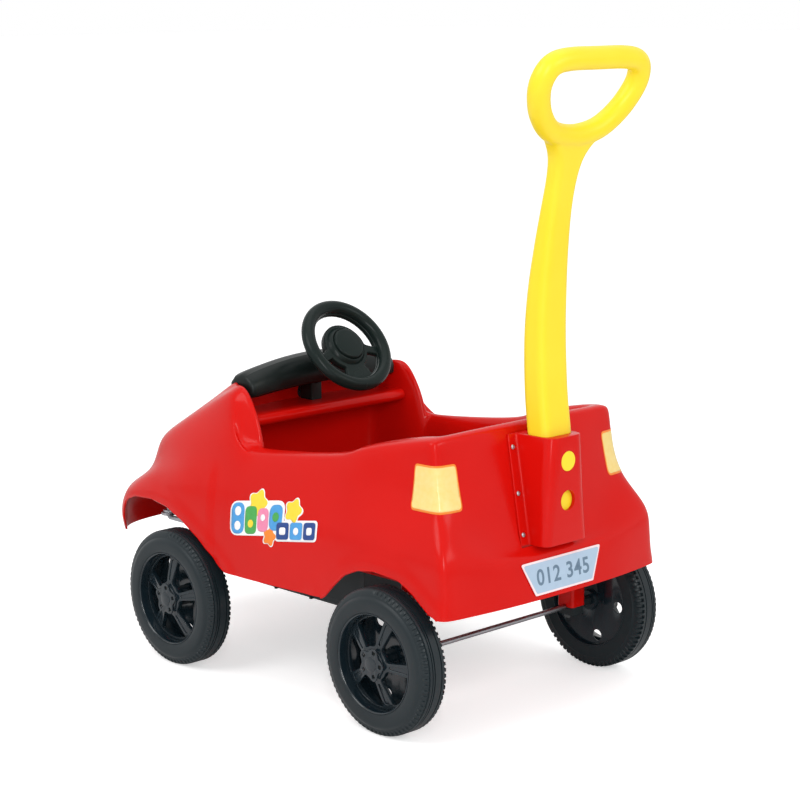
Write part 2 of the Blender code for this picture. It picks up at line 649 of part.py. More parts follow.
def make_tray():
    low = (-TRAY_HALF_WIDTH, TRAY_FRONT, TRAY_BOTTOM)
    high = (TRAY_HALF_WIDTH, TRAY_BACK, FLANGE_TOP_Z)
    outer = rounded_box_mesh("floor_tray", low, high, TRAY_ROUND, 'Y')
    tray = add_object("floor_tray", outer, BLACK, 0.45)
    trim = box_mesh("tray_top_trim", (-0.2, -0.4, FLANGE_TOP_Z - 0.020), (0.2, 0.3, FLANGE_TOP_Z + 0.02))
    boolean(tray, add_cutter("tray_top_trim", trim))
    upper = box_mesh("tray_walls", (low[0], low[1], FLANGE_TOP_Z - 0.024), high)
    boolean(tray, add_cutter("tray_walls", upper), 'UNION')
    flange = box_mesh("tray_flange", (-TRAY_FLANGE, TRAY_FLANGE_FRONT, FLANGE_TOP_Z - TRAY_WALL),
                      (TRAY_FLANGE, TRAY_BACK, FLANGE_TOP_Z))
    boolean(tray, add_cutter("tray_flange", flange), 'UNION')
    nose = box_mesh("tray_nose_flange", (-0.120, TRAY_FRONT - 0.010, FLANGE_TOP_Z - TRAY_WALL),
                    (0.120, TRAY_FRONT + 0.004, FLANGE_TOP_Z))
    boolean(tray, add_cutter("tray_nose_flange", nose), 'UNION')
    shelf = box_mesh("beam_shelf", (-BEAM_SHELF_HALF, FRONT_Y - 0.026, BEAM_Z - RUN_GAP - TRAY_WALL),
                     (BEAM_SHELF_HALF, TRAY_FRONT + 0.004, BEAM_Z - RUN_GAP))
    boolean(tray, add_cutter("beam_shelf", shelf), 'UNION')
    for side in (-1, 1):
        x = side * (BEAM_SHELF_HALF - 0.012)
        rib = ((TRAY_FRONT + 0.002, TRAY_BOTTOM + 0.002), (TRAY_FRONT + 0.002, BEAM_Z - 0.001),
               (FRONT_Y - 0.022, BEAM_Z - 0.001), (FRONT_Y - 0.022, BEAM_Z - 0.006))
        name = f"beam_rib_{side}"
        boolean(tray, add_cutter(name, prism_mesh(name, rib, 'X', x - 0.0015, x + 0.0015)), 'UNION')
    inside = rounded_box_mesh("tray_inside", (low[0] + TRAY_WALL, low[1] + TRAY_WALL, low[2] + TRAY_WALL),
                              (high[0] - TRAY_WALL, high[1] - TRAY_WALL, high[2] + 0.02),
                              TRAY_ROUND - TRAY_WALL, 'Y')
    boolean(tray, add_cutter("tray_inside", inside))
    # two ribs across the foot well keep the floor stiff
    for i, y in enumerate((-0.10 * LENGTH, -0.02 * LENGTH)):
        rib = box_mesh(f"floor_rib_{i}", (low[0] + 0.001, y - 0.002, low[2] + 0.002),
                       (high[0] - 0.001, y + 0.002, low[2] + 0.008))
        boolean(tray, add_cutter(f"floor_rib_{i}", rib), 'UNION')
    for name, side in SIDES:
        for end, y in (("front", -0.080 * LENGTH), ("rear", 0.070 * LENGTH)):
            x = side * (TRAY_FLANGE - 0.007)
            under = FLANGE_TOP_Z - TRAY_WALL - RUN_GAP
            add_screw(f"tray_screw_{end}_{name}", (x, y, under), (0, 0, -1))


def make_seat():
    """A moulded seat on two side skirts that hang under the cockpit's inner wall."""
    line = [(0.1065, 0.2150), (0.1065, 0.2420), (0.1130, 0.2500), (0.1450, 0.2490),
            (0.1900, 0.2440), (0.2120, 0.2500), (0.2240, 0.2680), (0.2330, 0.3200),
            (0.2385, 0.3600)]
    line = [(y * LENGTH, z) for y, z in line]
    outline = []
    for i, (y, z) in enumerate(line):
        before = Vector(line[max(i - 1, 0)])
        after = Vector(line[min(i + 1, len(line) - 1)])
        along = (after - before).normalized()
        outline.append((y + along.y * SEAT_WALL, z - along.x * SEAT_WALL))
    shape = line + outline[::-1]
    seat = add_object("seat", prism_mesh("seat", shape, 'X', -SEAT_HALF_WIDTH, SEAT_HALF_WIDTH), RED, 0.25)
    for name, side in SIDES:
        skirt = [(0.1070, FLANGE_TOP_Z - SEAT_WALL), (0.1900, FLANGE_TOP_Z - SEAT_WALL),
                 (0.1960, 0.2200), (0.2000, 0.2450), (0.1900, 0.2430), (0.1450, 0.2480),
                 (0.1140, 0.2485), (0.1070, 0.2400)]
        skirt = [(y * LENGTH, z) for y, z in skirt]
        low, high = sorted((side * (SEAT_HALF_WIDTH - SEAT_WALL), side * SEAT_HALF_WIDTH))
        boolean(seat, add_cutter(f"skirt_{name}", prism_mesh(f"skirt_{name}", skirt, 'X', low, high)), 'UNION')
        low, high = sorted((side * (SEAT_HALF_WIDTH - 0.002), side * SEAT_FLANGE))
        flange = box_mesh(f"seat_flange_{name}", (low, 0.1070 * LENGTH, FLANGE_TOP_Z - SEAT_WALL),
                          (high, 0.1880 * LENGTH, FLANGE_TOP_Z))
        boolean(seat, add_cutter(f"seat_flange_{name}", flange), 'UNION')
    return seat


# Wheels
def wheel_profile():
    """Half section of a wheel: (along the axle from the inner face, radius)."""
    w = WHEEL_WIDTH
    r = WHEEL_RADIUS
    lip = w + LIP_PROUD
    rim_out = lip - DISC_INSET
    hub_face = HUB_OUTER_X - WHEEL_INNER_X
    cone_top = hub_face - 0.0030    # the disc is a shallow cone that rises to the hub
    return (
        (0.0, BORE_RADIUS), (0.0, 0.0150), (cone_top - DISC_THICK, 0.0150),
        (rim_out - DISC_THICK, RIM_RADIUS - 0.0015), (0.0, RIM_RADIUS + 0.0005), (0.0, r - 0.014),
        (0.0035, r - 0.0015), (SHOULDER, r), (w - SHOULDER + 0.003, r), (w - 0.0028, r - 0.0022),
        (w + 0.0010, r - 0.0100), (lip, RIM_RADIUS + LIP_WIDTH), (lip, RIM_RADIUS),
        (rim_out, RIM_RADIUS - 0.0012), (cone_top, HUB_RADIUS + 0.001),
        (hub_face, HUB_RADIUS - 0.0005), (hub_face, NUT_POCKET_RADIUS),
        (hub_face - NUT_POCKET_DEPTH, NUT_POCKET_RADIUS), (hub_face - NUT_POCKET_DEPTH, BORE_RADIUS),
    )


def wheel_mesh(name, side):
    """A wheel about the X axis, its inner face at x = 0 and its outer face to one side."""
    bm = bmesh.new()
    verts = [bm.verts.new((side * s, 0.0, radius)) for s, radius in wheel_profile()]
    edges = [bm.edges.new((a, b)) for a, b in zip(verts, verts[1:] + verts[:1])]
    bmesh.ops.spin(bm, geom=verts + edges, cent=(0, 0, 0), axis=(1, 0, 0),
                   angle=2 * math.pi, steps=TREAD_STEPS, use_merge=True)
    bmesh.ops.remove_doubles(bm, verts=bm.verts, dist=0.00005)
    # lugs: pairs of steps round both shoulders stand down by the lug depth
    for v in bm.verts:
        radius = math.hypot(v.co.y, v.co.z)
        s = side * v.co.x
        on_shoulder = s < SHOULDER - 0.001 or s > WHEEL_WIDTH - SHOULDER + 0.004
        if on_shoulder and radius > WHEEL_RADIUS - 0.005:
            step = round(math.atan2(v.co.z, v.co.y) / (2 * math.pi) * TREAD_STEPS)
            if step % 2:
                scale = (radius - LUG_DEPTH) / radius
                v.co.y *= scale
                v.co.z *= scale
    return to_mesh(name, bm)


def spoke_gap_mesh(name, side, turn):
    """Cutter for the five openings between the spokes."""
    inner = HUB_RADIUS + 0.0040
    outer = RIM_RADIUS - 0.0060
    outline_in = math.degrees(math.asin(SPOKE_HUB_HALF / inner))
    outline_out = math.degrees(math.asin(SPOKE_RIM_HALF / outer))
    half = 180.0 / SPOKE_COUNT
    bm = bmesh.new()
    for i in range(SPOKE_COUNT):
        middle = 90.0 + turn + 360.0 / SPOKE_COUNT * (i + 0.5)
        shape = arc((0, 0), outer, middle - half + outline_out, middle + half - outline_out, 3)
        shape += arc((0, 0), inner, middle + half - outline_in, middle - half + outline_in, 1)
        rim_out = WHEEL_WIDTH + LIP_PROUD - DISC_INSET
        low = side * (rim_out - DISC_THICK - 0.003)
        high = side * (rim_out + DISC_INSET + 0.003)
        verts = [bm.verts.new((low, a, b)) for a, b in shape]
        face = bm.faces.new(verts)
        new = bmesh.ops.extrude_face_region(bm, geom=[face])["geom"]
        bmesh.ops.translate(bm, vec=(high - low, 0, 0),
                            verts=[v for v in new if isinstance(v, bmesh.types.BMVert)])
    return to_mesh(name, bm)


def make_wheel(end, name, side, hanger):
    """A moulded wheel, its hub cap, and the push nut in the hub's pocket."""
    wheel_name = f"wheel_{end}_{name}"
    at = (side * WHEEL_INNER_X - hanger.location.x, 0 if end == "front" else REAR_Y, AXLE_Z)
    spin = make_empty(f"spin_{end}_{name}", at, hanger)
    wheel = add_object(wheel_name, wheel_mesh(wheel_name, side), BLACK, 0.42, parent=spin)
    gaps = add_cutter(f"spoke_gaps_{end}_{name}", spoke_gap_mesh("spoke_gaps", side, SPOKE_TURN[f"{end}_{name}"]),
                       spin)
    boolean(wheel, gaps)
    face = side * (HUB_OUTER_X - WHEEL_INNER_X + RUN_GAP)
    cap = cylinder_mesh("cap", (face, 0, 0), (face + side * CAP_THICK, 0, 0), CAP_RADIUS, 18,
                        CAP_RADIUS - 0.0015)
    add_object(f"hub_cap_{end}_{name}", cap, BLACK, 0.35, parent=spin)
    return at


def ring_mesh(name, start, end, radius, bore, segments=12):
    """A short sleeve between two points."""
    bm = bmesh.new()
    start = Vector(start)
    end = Vector(end)
    length = (end - start).length
    verts = [bm.verts.new((r, 0, z)) for r, z in ((bore, 0), (radius, 0), (radius, length), (bore, length))]
    edges = [bm.edges.new((a, b)) for a, b in zip(verts, verts[1:] + verts[:1])]
    bmesh.ops.spin(bm, geom=verts + edges, cent=(0, 0, 0), axis=(0, 0, 1),
                   angle=2 * math.pi, steps=segments, use_merge=True)
    bmesh.ops.remove_doubles(bm, verts=bm.verts, dist=0.00005)
    bmesh.ops.transform(bm, matrix=Matrix.Translation(start) @ aim(end - start), verts=bm.verts)
    return to_mesh(name, bm)


def make_rear_axle():
    ends = [(x, REAR_Y, AXLE_Z) for x in (-AXLE_END_X, AXLE_END_X)]
    add_object("rear_axle", cylinder_mesh("rear_axle", ends[0], ends[1], ROD_RADIUS, 16), STEEL, 0.3, 1.0)
    for name, side in SIDES:
        make_wheel("rear", name, side, CAR)
        spacer = ring_mesh("spacer", (side * (LEG_X[1] + RUN_GAP), REAR_Y, AXLE_Z),
                           (side * (WHEEL_INNER_X - RUN_GAP), REAR_Y, AXLE_Z), SPACER_RADIUS, BORE_RADIUS)
        add_object(f"rear_spacer_{name}", spacer, BLACK, 0.4)
        low, high = sorted((side * (LEG_X[0] + 0.002), side * (LEG_X[1] - 0.002)))
        half = LEG_DEPTH / 2 - 0.002
        cap = add_object(f"axle_cap_{name}", box_mesh(
            "axle_cap", (low, REAR_Y - half, AXLE_Z - AXLE_CAP_DROP),
            (high, REAR_Y + half, AXLE_Z - RUN_GAP)), BLACK, 0.45)
        boolean(cap, bpy.data.objects["axle_bore"])
        start = side * (NUT_FACE_X + RUN_GAP)
        nut = ring_mesh("nut", (start, REAR_Y, AXLE_Z), (start + side * NUT_THICK, REAR_Y, AXLE_Z),
                        NUT_RADIUS, ROD_RADIUS + 0.0003, 10)
        add_object(f"rear_nut_{name}", nut, STEEL, 0.35, 1.0)


# Steering gear
def make_front_end():
    half = BEAM_DEPTH / 2
    beam = add_object("front_axle_beam", box_mesh(
        "front_axle_beam", (-KINGPIN_X, FRONT_Y - half, BEAM_Z),
        (KINGPIN_X, FRONT_Y + half, BEAM_Z + BEAM_HEIGHT), 0.002, 1), STEEL, 0.4, 1.0)
    hollow = box_mesh("beam_hollow", (-KINGPIN_X + 0.010, FRONT_Y - half + BEAM_WALL, BEAM_Z - 0.01),
                      (KINGPIN_X - 0.010, FRONT_Y + half - BEAM_WALL, BEAM_Z + BEAM_HEIGHT - BEAM_WALL))
    boolean(beam, add_cutter("beam_hollow", hollow))
    for name, side in SIDES:
        x = side * KINGPIN_X
        low, high = sorted((side * (KINGPIN_X - 0.003), side * (KINGPIN_X + 0.02)))
        taper = [(low, FRONT_Y - 0.04), (high, FRONT_Y - 0.04), (high, FRONT_Y + 0.04), (low, FRONT_Y + 0.04)]
        trim = prism_mesh(f"beam_trim_{name}", taper, 'Z', BEAM_Z - 0.01, BEAM_Z + BEAM_HEIGHT + 0.01)
        boolean(beam, add_cutter(f"beam_trim_{name}", trim))
        tube = cylinder_mesh(f"kingpin_tube_{name}", (x, FRONT_Y, KINGPIN_TUBE_Z[0]),
                             (x, FRONT_Y, KINGPIN_TUBE_Z[1]), KINGPIN_TUBE_RADIUS, 12)
        boolean(beam, add_cutter(f"kingpin_tube_{name}", tube), 'UNION')
        bore = cylinder_mesh(f"kingpin_bore_{name}", (x, FRONT_Y, KINGPIN_TUBE_Z[0] - 0.01),
                             (x, FRONT_Y, KINGPIN_TUBE_Z[1] + 0.01), BORE_RADIUS, 12)
        boolean(beam, add_cutter(f"kingpin_bore_{name}", bore))
    for name, side in SIDES:
        add_screw(f"beam_screw_{name}", (side * 0.06, FRONT_Y, BEAM_Z + BEAM_HEIGHT + RUN_GAP), (0, 0, 1))
        make_knuckle(name, side)


def make_knuckle(name, side):
    """A steel rod bent into stub axle, kingpin, forward arm and tie rod pin."""
    pivot = make_empty(f"kingpin_axis_{name}", (side * KINGPIN_X, FRONT_Y, 0.0), CAR)
    path = smooth_path(((side * (AXLE_END_X - KINGPIN_X), 0, AXLE_Z), (0, 0, AXLE_Z), (0, 0, ARM_Z),
                        (0, -ARM_LENGTH, ARM_Z), (0, -ARM_LENGTH, TIE_PIN_TOP)), (0.010, 0.010, 0.0046))
    mesh = tube_mesh(f"stub_axle_{name}", path, ROD_RADIUS, 2)
    add_object(f"stub_axle_{name}", mesh, STEEL, 0.3, 1.0, parent=pivot)
    top = KINGPIN_TUBE_Z[0] - RUN_GAP
    collar = ring_mesh("collar", (0, 0, top - COLLAR_THICK), (0, 0, top), COLLAR_RADIUS, ROD_RADIUS + 0.0003)
    add_object(f"kingpin_collar_{name}", collar, STEEL, 0.35, 1.0, parent=pivot)
    z = TIE_ROD_Z + TIE_ROD_THICK + RUN_GAP
    nut = ring_mesh("tie_nut", (0, -ARM_LENGTH, z), (0, -ARM_LENGTH, z + NUT_THICK),
                    NUT_RADIUS, ROD_RADIUS + 0.0003, 10)
    add_object(f"tie_rod_nut_{name}", nut, STEEL, 0.35, 1.0, parent=pivot)
    make_wheel("front", name, side, pivot)
    inner = WHEEL_INNER_X - KINGPIN_X - RUN_GAP
    washer = ring_mesh("washer", (side * (inner - 0.003), 0, AXLE_Z), (side * inner, 0, AXLE_Z),
                       SPACER_RADIUS + 0.001, ROD_RADIUS + 0.0003)
    add_object(f"stub_washer_{name}", washer, STEEL, 0.35, 1.0, parent=pivot)
    start = side * (NUT_FACE_X - KINGPIN_X + RUN_GAP)
    nut = ring_mesh("stub_nut", (start, 0, AXLE_Z), (start + side * NUT_THICK, 0, AXLE_Z),
                    NUT_RADIUS, ROD_RADIUS + 0.0003, 10)
    add_object(f"stub_nut_{name}", nut, STEEL, 0.35, 1.0, parent=pivot)


def slot_outline(centre, half_width, low, high):
    """A slot with round ends, its long way along the second axis."""
    x, _ = centre
    upper = arc((x, high - half_width), half_width, 0, 180, 6)
    lower = arc((x, low + half_width), half_width, 180, 360, 6)
    return upper + lower


def make_tie_rod():
    slide = make_empty("tie_rod_slide", (0, TIE_Y, TIE_ROD_Z), CAR)
    swing = ARM_LENGTH * (1 - math.cos(KNUCKLE_SWING))
    half = TIE_ROD_WIDTH / 2
    end = KINGPIN_X + TIE_ROD_END
    bar = rounded_box_mesh("tie_rod", (-end, swing / 2 - half, 0), (end, swing / 2 + half, TIE_ROD_THICK),
                           0.010, 'Z', 3)
    rod = add_object("tie_rod", bar, STEEL, 0.35, 1.0, parent=slide)
    hole = ROD_RADIUS + TIE_SLOT_PLAY
    for name, side in SIDES:
        shape = slot_outline((side * KINGPIN_X, 0), hole, -hole, swing + hole)
        slot = prism_mesh(f"tie_slot_{name}", shape, 'Z', -0.005, TIE_ROD_THICK + 0.005)
        boolean(rod, add_cutter(f"tie_slot_{name}", slot, slide))
    crank = column_point(CRANK_AT, CRANK_LENGTH)
    pin_z = crank[2] - TIE_ROD_Z
    outline = mirrored([(YOKE_FOOT_HALF, 0.001), (YOKE_FOOT_HALF, 0.012),
                        (YOKE_HALF_WIDTH, pin_z - 0.035), (YOKE_HALF_WIDTH, pin_z + 0.0065)])
    yoke = prism_mesh("yoke", outline, 'Y', -YOKE_THICK / 2, YOKE_THICK / 2)
    boolean(rod, add_cutter("yoke", yoke, slide), 'UNION')
    # the slot is open at the top, and deep enough for the pin at full lock
    drop = CRANK_LENGTH * (1 - math.cos(STEER_SWING)) / math.cos(TILT)
    low = pin_z - drop - (ROD_RADIUS + 0.0015) / math.cos(TILT) - YOKE_SLOT_HALF / 2
    shape = slot_outline((0, 0), YOKE_SLOT_HALF, low, pin_z + 0.030)
    slot = prism_mesh("yoke_slot", shape, 'Y', -0.01, 0.01)
    boolean(rod, add_cutter("yoke_slot", slot, slide))


def make_column():
    """Steering wheel, horn button and bent column, about the column's own axis."""
    axis = make_empty("column_axis", WHEEL_CENTRE, CAR)
    axis.rotation_euler = (TILT - math.radians(90.0), 0, 0)
    sleeve_end = -(STEER_SLEEVE_LENGTH + 0.0165)
    hub_low = -0.0165
    # ring, hub and spokes
    bm = bmesh.new()
    ring = 22
    tube = 8
    circle = [(STEER_RING_RADIUS + STEER_TUBE_RADIUS * math.cos(2 * math.pi * i / tube), 0,
               STEER_TUBE_RADIUS * math.sin(2 * math.pi * i / tube)) for i in range(tube)]
    verts = [bm.verts.new(p) for p in circle]
    edges = [bm.edges.new((a, b)) for a, b in zip(verts, verts[1:] + verts[:1])]
    bmesh.ops.spin(bm, geom=verts + edges, cent=(0, 0, 0), axis=(0, 0, 1),
                   angle=2 * math.pi, steps=ring, use_merge=True)
    bmesh.ops.remove_doubles(bm, verts=bm.verts, dist=0.00005)
    wheel = add_object("steering_wheel", to_mesh("steering_wheel", bm), BLACK, 0.32, parent=axis)
    hub = cylinder_mesh("steer_hub", (0, 0, hub_low), (0, 0, hub_low + STEER_HUB_THICK),
                        STEER_HUB_RADIUS, 20, STEER_HUB_RADIUS - 0.0085)
    boolean(wheel, add_cutter("steer_hub", hub, axis), 'UNION')
    reach = STEER_RING_RADIUS
    for name, side in SIDES:
        shape = [(side * 0.024, -0.0120), (side * reach, -0.0095), (side * reach, 0.0095), (side * 0.024, 0.0085)]
        spoke = prism_mesh(f"steer_spoke_{name}", shape, 'Z', -SPOKE_THICK, 0.0)
        boolean(wheel, add_cutter(f"steer_spoke_{name}", spoke, axis), 'UNION')
    shape = mirrored([(0.0150, 0.020), (0.0170, 0.042), (0.0300, reach - 0.0060)])
    low_spoke = prism_mesh("steer_spoke_low", shape, 'Z', -SPOKE_THICK - 0.001, 0.001)
    boolean(wheel, add_cutter("steer_spoke_low", low_spoke, axis), 'UNION')
    sleeve = cylinder_mesh("steer_sleeve", (0, 0, sleeve_end), (0, 0, hub_low + 0.002),
                           STEER_SLEEVE_RADIUS, 20)
    boolean(wheel, add_cutter("steer_sleeve", sleeve, axis), 'UNION')
    hub_top = hub_low + STEER_HUB_THICK
    pocket = cylinder_mesh("button_pocket", (0, 0, hub_top - BUTTON_POCKET), (0, 0, hub_top + 0.01),
                           BUTTON_RADIUS + 2 * RUN_GAP, 20)
    boolean(wheel, add_cutter("button_pocket", pocket, axis))
    rod_top = hub_top - BUTTON_POCKET - 0.003
    bore = cylinder_mesh("column_bore", (0, 0, sleeve_end - 0.01), (0, 0, rod_top), BORE_RADIUS, 20)
    boolean(wheel, add_cutter("column_bore", bore, axis))
    button_low = hub_top - BUTTON_POCKET + BUTTON_TRAVEL + 0.0005
    button = cylinder_mesh("horn_button", (0, 0, button_low), (0, 0, button_low + BUTTON_THICK),
                           BUTTON_RADIUS, 20, BUTTON_RADIUS - 0.003)
    add_object("horn_button", button, BLACK, 0.3, parent=axis)
    bend = CRANK_AT - 0.0130
    path = smooth_path(((0, 0, rod_top - RUN_GAP), (0, 0, -bend), (0, -CRANK_LENGTH, -bend),
                        (0, -CRANK_LENGTH, -bend - 0.0260)), (0.008, 0.008))
    add_object("steering_column", tube_mesh("steering_column", path, ROD_RADIUS, 2), STEEL, 0.3, 1.0,
               parent=axis)
    bush = ring_mesh("column_bush", (0, 0, -BUSH_AT), (0, 0, -BUSH_AT - BUSH_LENGTH), BUSH_RADIUS, BORE_RADIUS)
    add_object("column_bush", bush, BLACK, 0.4, parent=axis)


# Push handle
def rounded_section(width, depth, corner, y, z, lean=0.0):
    """A rounded rectangle across the shaft, 12 points, at height z."""
    points = []
    for sx, sy, start in ((1, 1, 0), (-1, 1, 90), (-1, -1, 180), (1, -1, 270)):
        centre = (sx * (width / 2 - corner), sy * (depth / 2 - corner))
        for a, b in arc(centre, corner, start, start + 90, 2):
            points.append((a, y + b, z + lean * b))
    return points


SHAFT_SECTIONS = (
    # z, y of the middle, width, depth
    (0.300, 0.3455, 0.0570, 0.0365),
    (0.345, 0.3405, 0.0575, 0.0385),
    (0.404, 0.3332, 0.0585, 0.0415),
    (0.470, 0.3258, 0.0580, 0.0410),
    (0.545, 0.3232, 0.0565, 0.0400),
    (0.610, 0.3262, 0.0535, 0.0375),
    (0.670, 0.3330, 0.0485, 0.0335),
    (0.725, 0.3420, 0.0440, 0.0290),
    (0.770, 0.3522, 0.0455, 0.0270),
    (0.800, 0.3605, 0.0600, 0.0270),
    (0.826, 0.3700, 0.1000, 0.0270),
)
LOOP_SLOPE = 0.42         # the grip leans back as it rises
LOOP_FOOT = (0.3700 * LENGTH, GRIP_FOOT_Z)
LOOP_HALF = ((0.0, 0.0), (0.046, 0.008), (0.078, 0.032), (0.0955, 0.062), (0.0960, 0.084),
             (0.0840, 0.099), (0.0560, 0.1045), (0.0, 0.1050))


def shaft_loops(grow=0.0):
    low = SHAFT_SECTIONS[0][0]
    stretch = (GRIP_FOOT_Z - HANDLE_END_Z) / (SHAFT_SECTIONS[-1][0] - low)
    loops = []
    for z, y, width, depth in SHAFT_SECTIONS:
        z = HANDLE_END_Z + (z - low) * stretch
        width += 2 * grow
        depth += 2 * grow
        loops.append(rounded_section(width, depth, min(0.012, depth * 0.38), y * LENGTH, z))
    return loops


def make_handle():
    handle = add_object("push_handle", loft_mesh("push_handle", shaft_loops()), YELLOW, 0.35)
    points = [(x, LOOP_FOOT[0] + LOOP_SLOPE * up, LOOP_FOOT[1] + up) for x, up in LOOP_HALF]
    points += [(-x, y, z) for x, y, z in points[-2:0:-1]]
    curve = closed_spline(points, 2)
    loop = tube_mesh("grip_loop", curve, LOOP_TUBE, 2, cyclic=True)
    boolean(handle, add_cutter("grip_loop", loop), 'UNION')
    hole = cylinder_mesh("plug_hole", (0, SOCKET_BACK_Y + 0.01, PLUG_Z[0]),
                         (0, SOCKET_BACK_Y - 0.0235, PLUG_Z[0]), PLUG_RADIUS + RUN_GAP)
    boolean(handle, add_cutter("plug_hole", hole))
    plug = cylinder_mesh("handle_plug", (0, SOCKET_BACK_Y - 0.0232, PLUG_Z[0]),
                         (0, SOCKET_BACK_Y + 0.0004, PLUG_Z[0]), PLUG_RADIUS)
    add_object("handle_plug", plug, YELLOW, 0.35)


def closed_spline(points, steps):
    """A closed Catmull-Rom curve through the points."""
    points = [Vector(p) for p in points]
    count = len(points)
    path = []
    for i in range(count):
        p0, p1, p2, p3 = (points[(i + k) % count] for k in (-1, 0, 1, 2))
        for k in range(steps):
            t = k / steps
            path.append(0.5 * ((2 * p1) + (p2 - p0) * t + (2 * p0 - 5 * p1 + 4 * p2 - p3) * t * t
                               + (3 * p1 - p0 - 3 * p2 + p3) * t ** 3))
    return path


def make_socket():
    top_z = SOCKET_Z[1]
    loops = []
    for z, half in ((SOCKET_Z[0], SOCKET_LOW_HALF), (top_z, SOCKET_TOP_HALF)):
        back = SOCKET_BACK_Y
        front = 0.285 * LENGTH
        corner = arc((half - SOCKET_CORNER, back - SOCKET_CORNER), SOCKET_CORNER, 0, 90, 4)
        loops.append([(x, y, z) for x, y in mirrored([(half, front)] + corner)])
    socket = add_object("handle_socket", loft_mesh("handle_socket", loops), RED, 0.25)
    flange = slab_mesh("socket_flange", SOCKET_SEAT_TOP, SOCKET_SEAT_LOW, FLANGE_TOP_HALF,
                       FLANGE_LOW_HALF, RUN_GAP, RUN_GAP + FLANGE_THICK)
    boolean(socket, add_cutter("socket_flange", flange), 'UNION')
    inner = []
    for z, half in ((SOCKET_Z[0] + SOCKET_WALL, SOCKET_LOW_HALF), (top_z - 0.006, SOCKET_TOP_HALF)):
        half -= SOCKET_WALL
        back = SOCKET_BACK_Y - SOCKET_WALL
        corner = arc((half - 0.008, back - 0.008), 0.008, 0, 90, 2)
        inner.append([(x, y, z) for x, y in mirrored([(half, 0.28 * LENGTH)] + corner)])
    boolean(socket, add_cutter("socket_hollow", loft_mesh("socket_hollow", inner)))
    rest = box_mesh("socket_rest", (-0.036, 0.300 * LENGTH, HANDLE_END_Z - RUN_GAP - SOCKET_WALL),
                    (0.036, SOCKET_BACK_Y - 0.002, HANDLE_END_Z - RUN_GAP))
    boolean(socket, add_cutter("socket_rest", rest), 'UNION')
    # everything ahead of the panel's slope goes, and the shaft and plug get their holes
    behind = slab_mesh("panel_side", SOCKET_SEAT_TOP, SOCKET_SEAT_LOW, 0.12, 0.12, -0.09, RUN_GAP)
    bm = bmesh.new()
    bm.from_mesh(behind)
    middle = sum((v.co for v in bm.verts), Vector()) / len(bm.verts)
    slope = Vector((0, SOCKET_SEAT_LOW[0] - SOCKET_SEAT_TOP[0], SOCKET_SEAT_LOW[1] - SOCKET_SEAT_TOP[1]))
    slope.normalize()
    for v in bm.verts:
        v.co += slope * (0.1 if (v.co - middle).dot(slope) > 0 else -0.1)
    bm.to_mesh(behind)
    bm.free()
    boolean(socket, add_cutter("panel_side", behind))
    boolean(socket, add_cutter("shaft_hole", loft_mesh("shaft_hole", shaft_loops(RUN_GAP)[:5])))
    bm = bmesh.new()
    for z in PLUG_Z:
        add_cylinder(bm, (0, SOCKET_BACK_Y - 0.008, z), (0, SOCKET_BACK_Y + 0.01, z), PLUG_RADIUS + RUN_GAP)
    boolean(socket, add_cutter("plug_holes", to_mesh("plug_holes", bm)))
    # screws down both flanges
    normal = Vector((0, -slope.z, slope.y))
    for name, side in SIDES:
        for i, share in enumerate((0.10, 0.54, 0.93)):
            half = mix(FLANGE_TOP_HALF, FLANGE_LOW_HALF, share) - 0.0065
            y = mix(SOCKET_SEAT_TOP[0], SOCKET_SEAT_LOW[0], share)
            z = mix(SOCKET_SEAT_TOP[1], SOCKET_SEAT_LOW[1], share)
            foot = Vector((side * half, y, z)) + normal * (2 * RUN_GAP + FLANGE_THICK)
            add_screw(f"socket_screw_{name}_{i + 1}", foot, normal)


make_body()
make_plate()
make_dashboard()
make_tray()
make_seat()
make_rear_axle()
make_front_end()
make_tie_rod()
make_column()
make_handle()
make_socket()
print("parts:", len([o for o in PARTS.objects if o.type == 'MESH']))
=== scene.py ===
# %% [markdown]
# # Kids ride-on car: from a plain solid model to a photograph
#
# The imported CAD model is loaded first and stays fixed. It says where everything
# is and what turns. Each cell below then builds one family of pieces over it as
# they look on the real toy, gives them a finish, and prints what it made.
# Units are metres, +Z is up, the nose faces -Y and the left side is +X.

# %% Load the frame
import json
import math

import bmesh
import bpy
from mathutils import Matrix, Vector
from mathutils.bvhtree import BVHTree

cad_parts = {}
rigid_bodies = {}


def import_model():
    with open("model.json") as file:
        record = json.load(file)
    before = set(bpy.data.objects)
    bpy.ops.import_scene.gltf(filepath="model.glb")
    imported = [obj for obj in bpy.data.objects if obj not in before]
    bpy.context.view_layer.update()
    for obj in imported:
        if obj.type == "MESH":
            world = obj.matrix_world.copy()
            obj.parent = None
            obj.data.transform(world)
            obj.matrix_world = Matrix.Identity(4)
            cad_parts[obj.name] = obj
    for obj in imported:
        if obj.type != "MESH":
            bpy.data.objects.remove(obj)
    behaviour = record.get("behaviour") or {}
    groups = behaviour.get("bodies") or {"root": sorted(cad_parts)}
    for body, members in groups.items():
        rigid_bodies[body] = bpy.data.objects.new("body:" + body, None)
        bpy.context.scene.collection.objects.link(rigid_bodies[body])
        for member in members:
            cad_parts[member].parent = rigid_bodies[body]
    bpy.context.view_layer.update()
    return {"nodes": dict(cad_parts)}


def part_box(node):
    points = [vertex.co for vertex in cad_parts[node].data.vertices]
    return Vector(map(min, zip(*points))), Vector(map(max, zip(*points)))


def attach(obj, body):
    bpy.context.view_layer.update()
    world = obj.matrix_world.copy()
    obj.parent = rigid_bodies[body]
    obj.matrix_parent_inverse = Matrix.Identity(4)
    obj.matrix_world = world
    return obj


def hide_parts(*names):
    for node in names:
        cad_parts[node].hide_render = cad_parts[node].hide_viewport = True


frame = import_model()

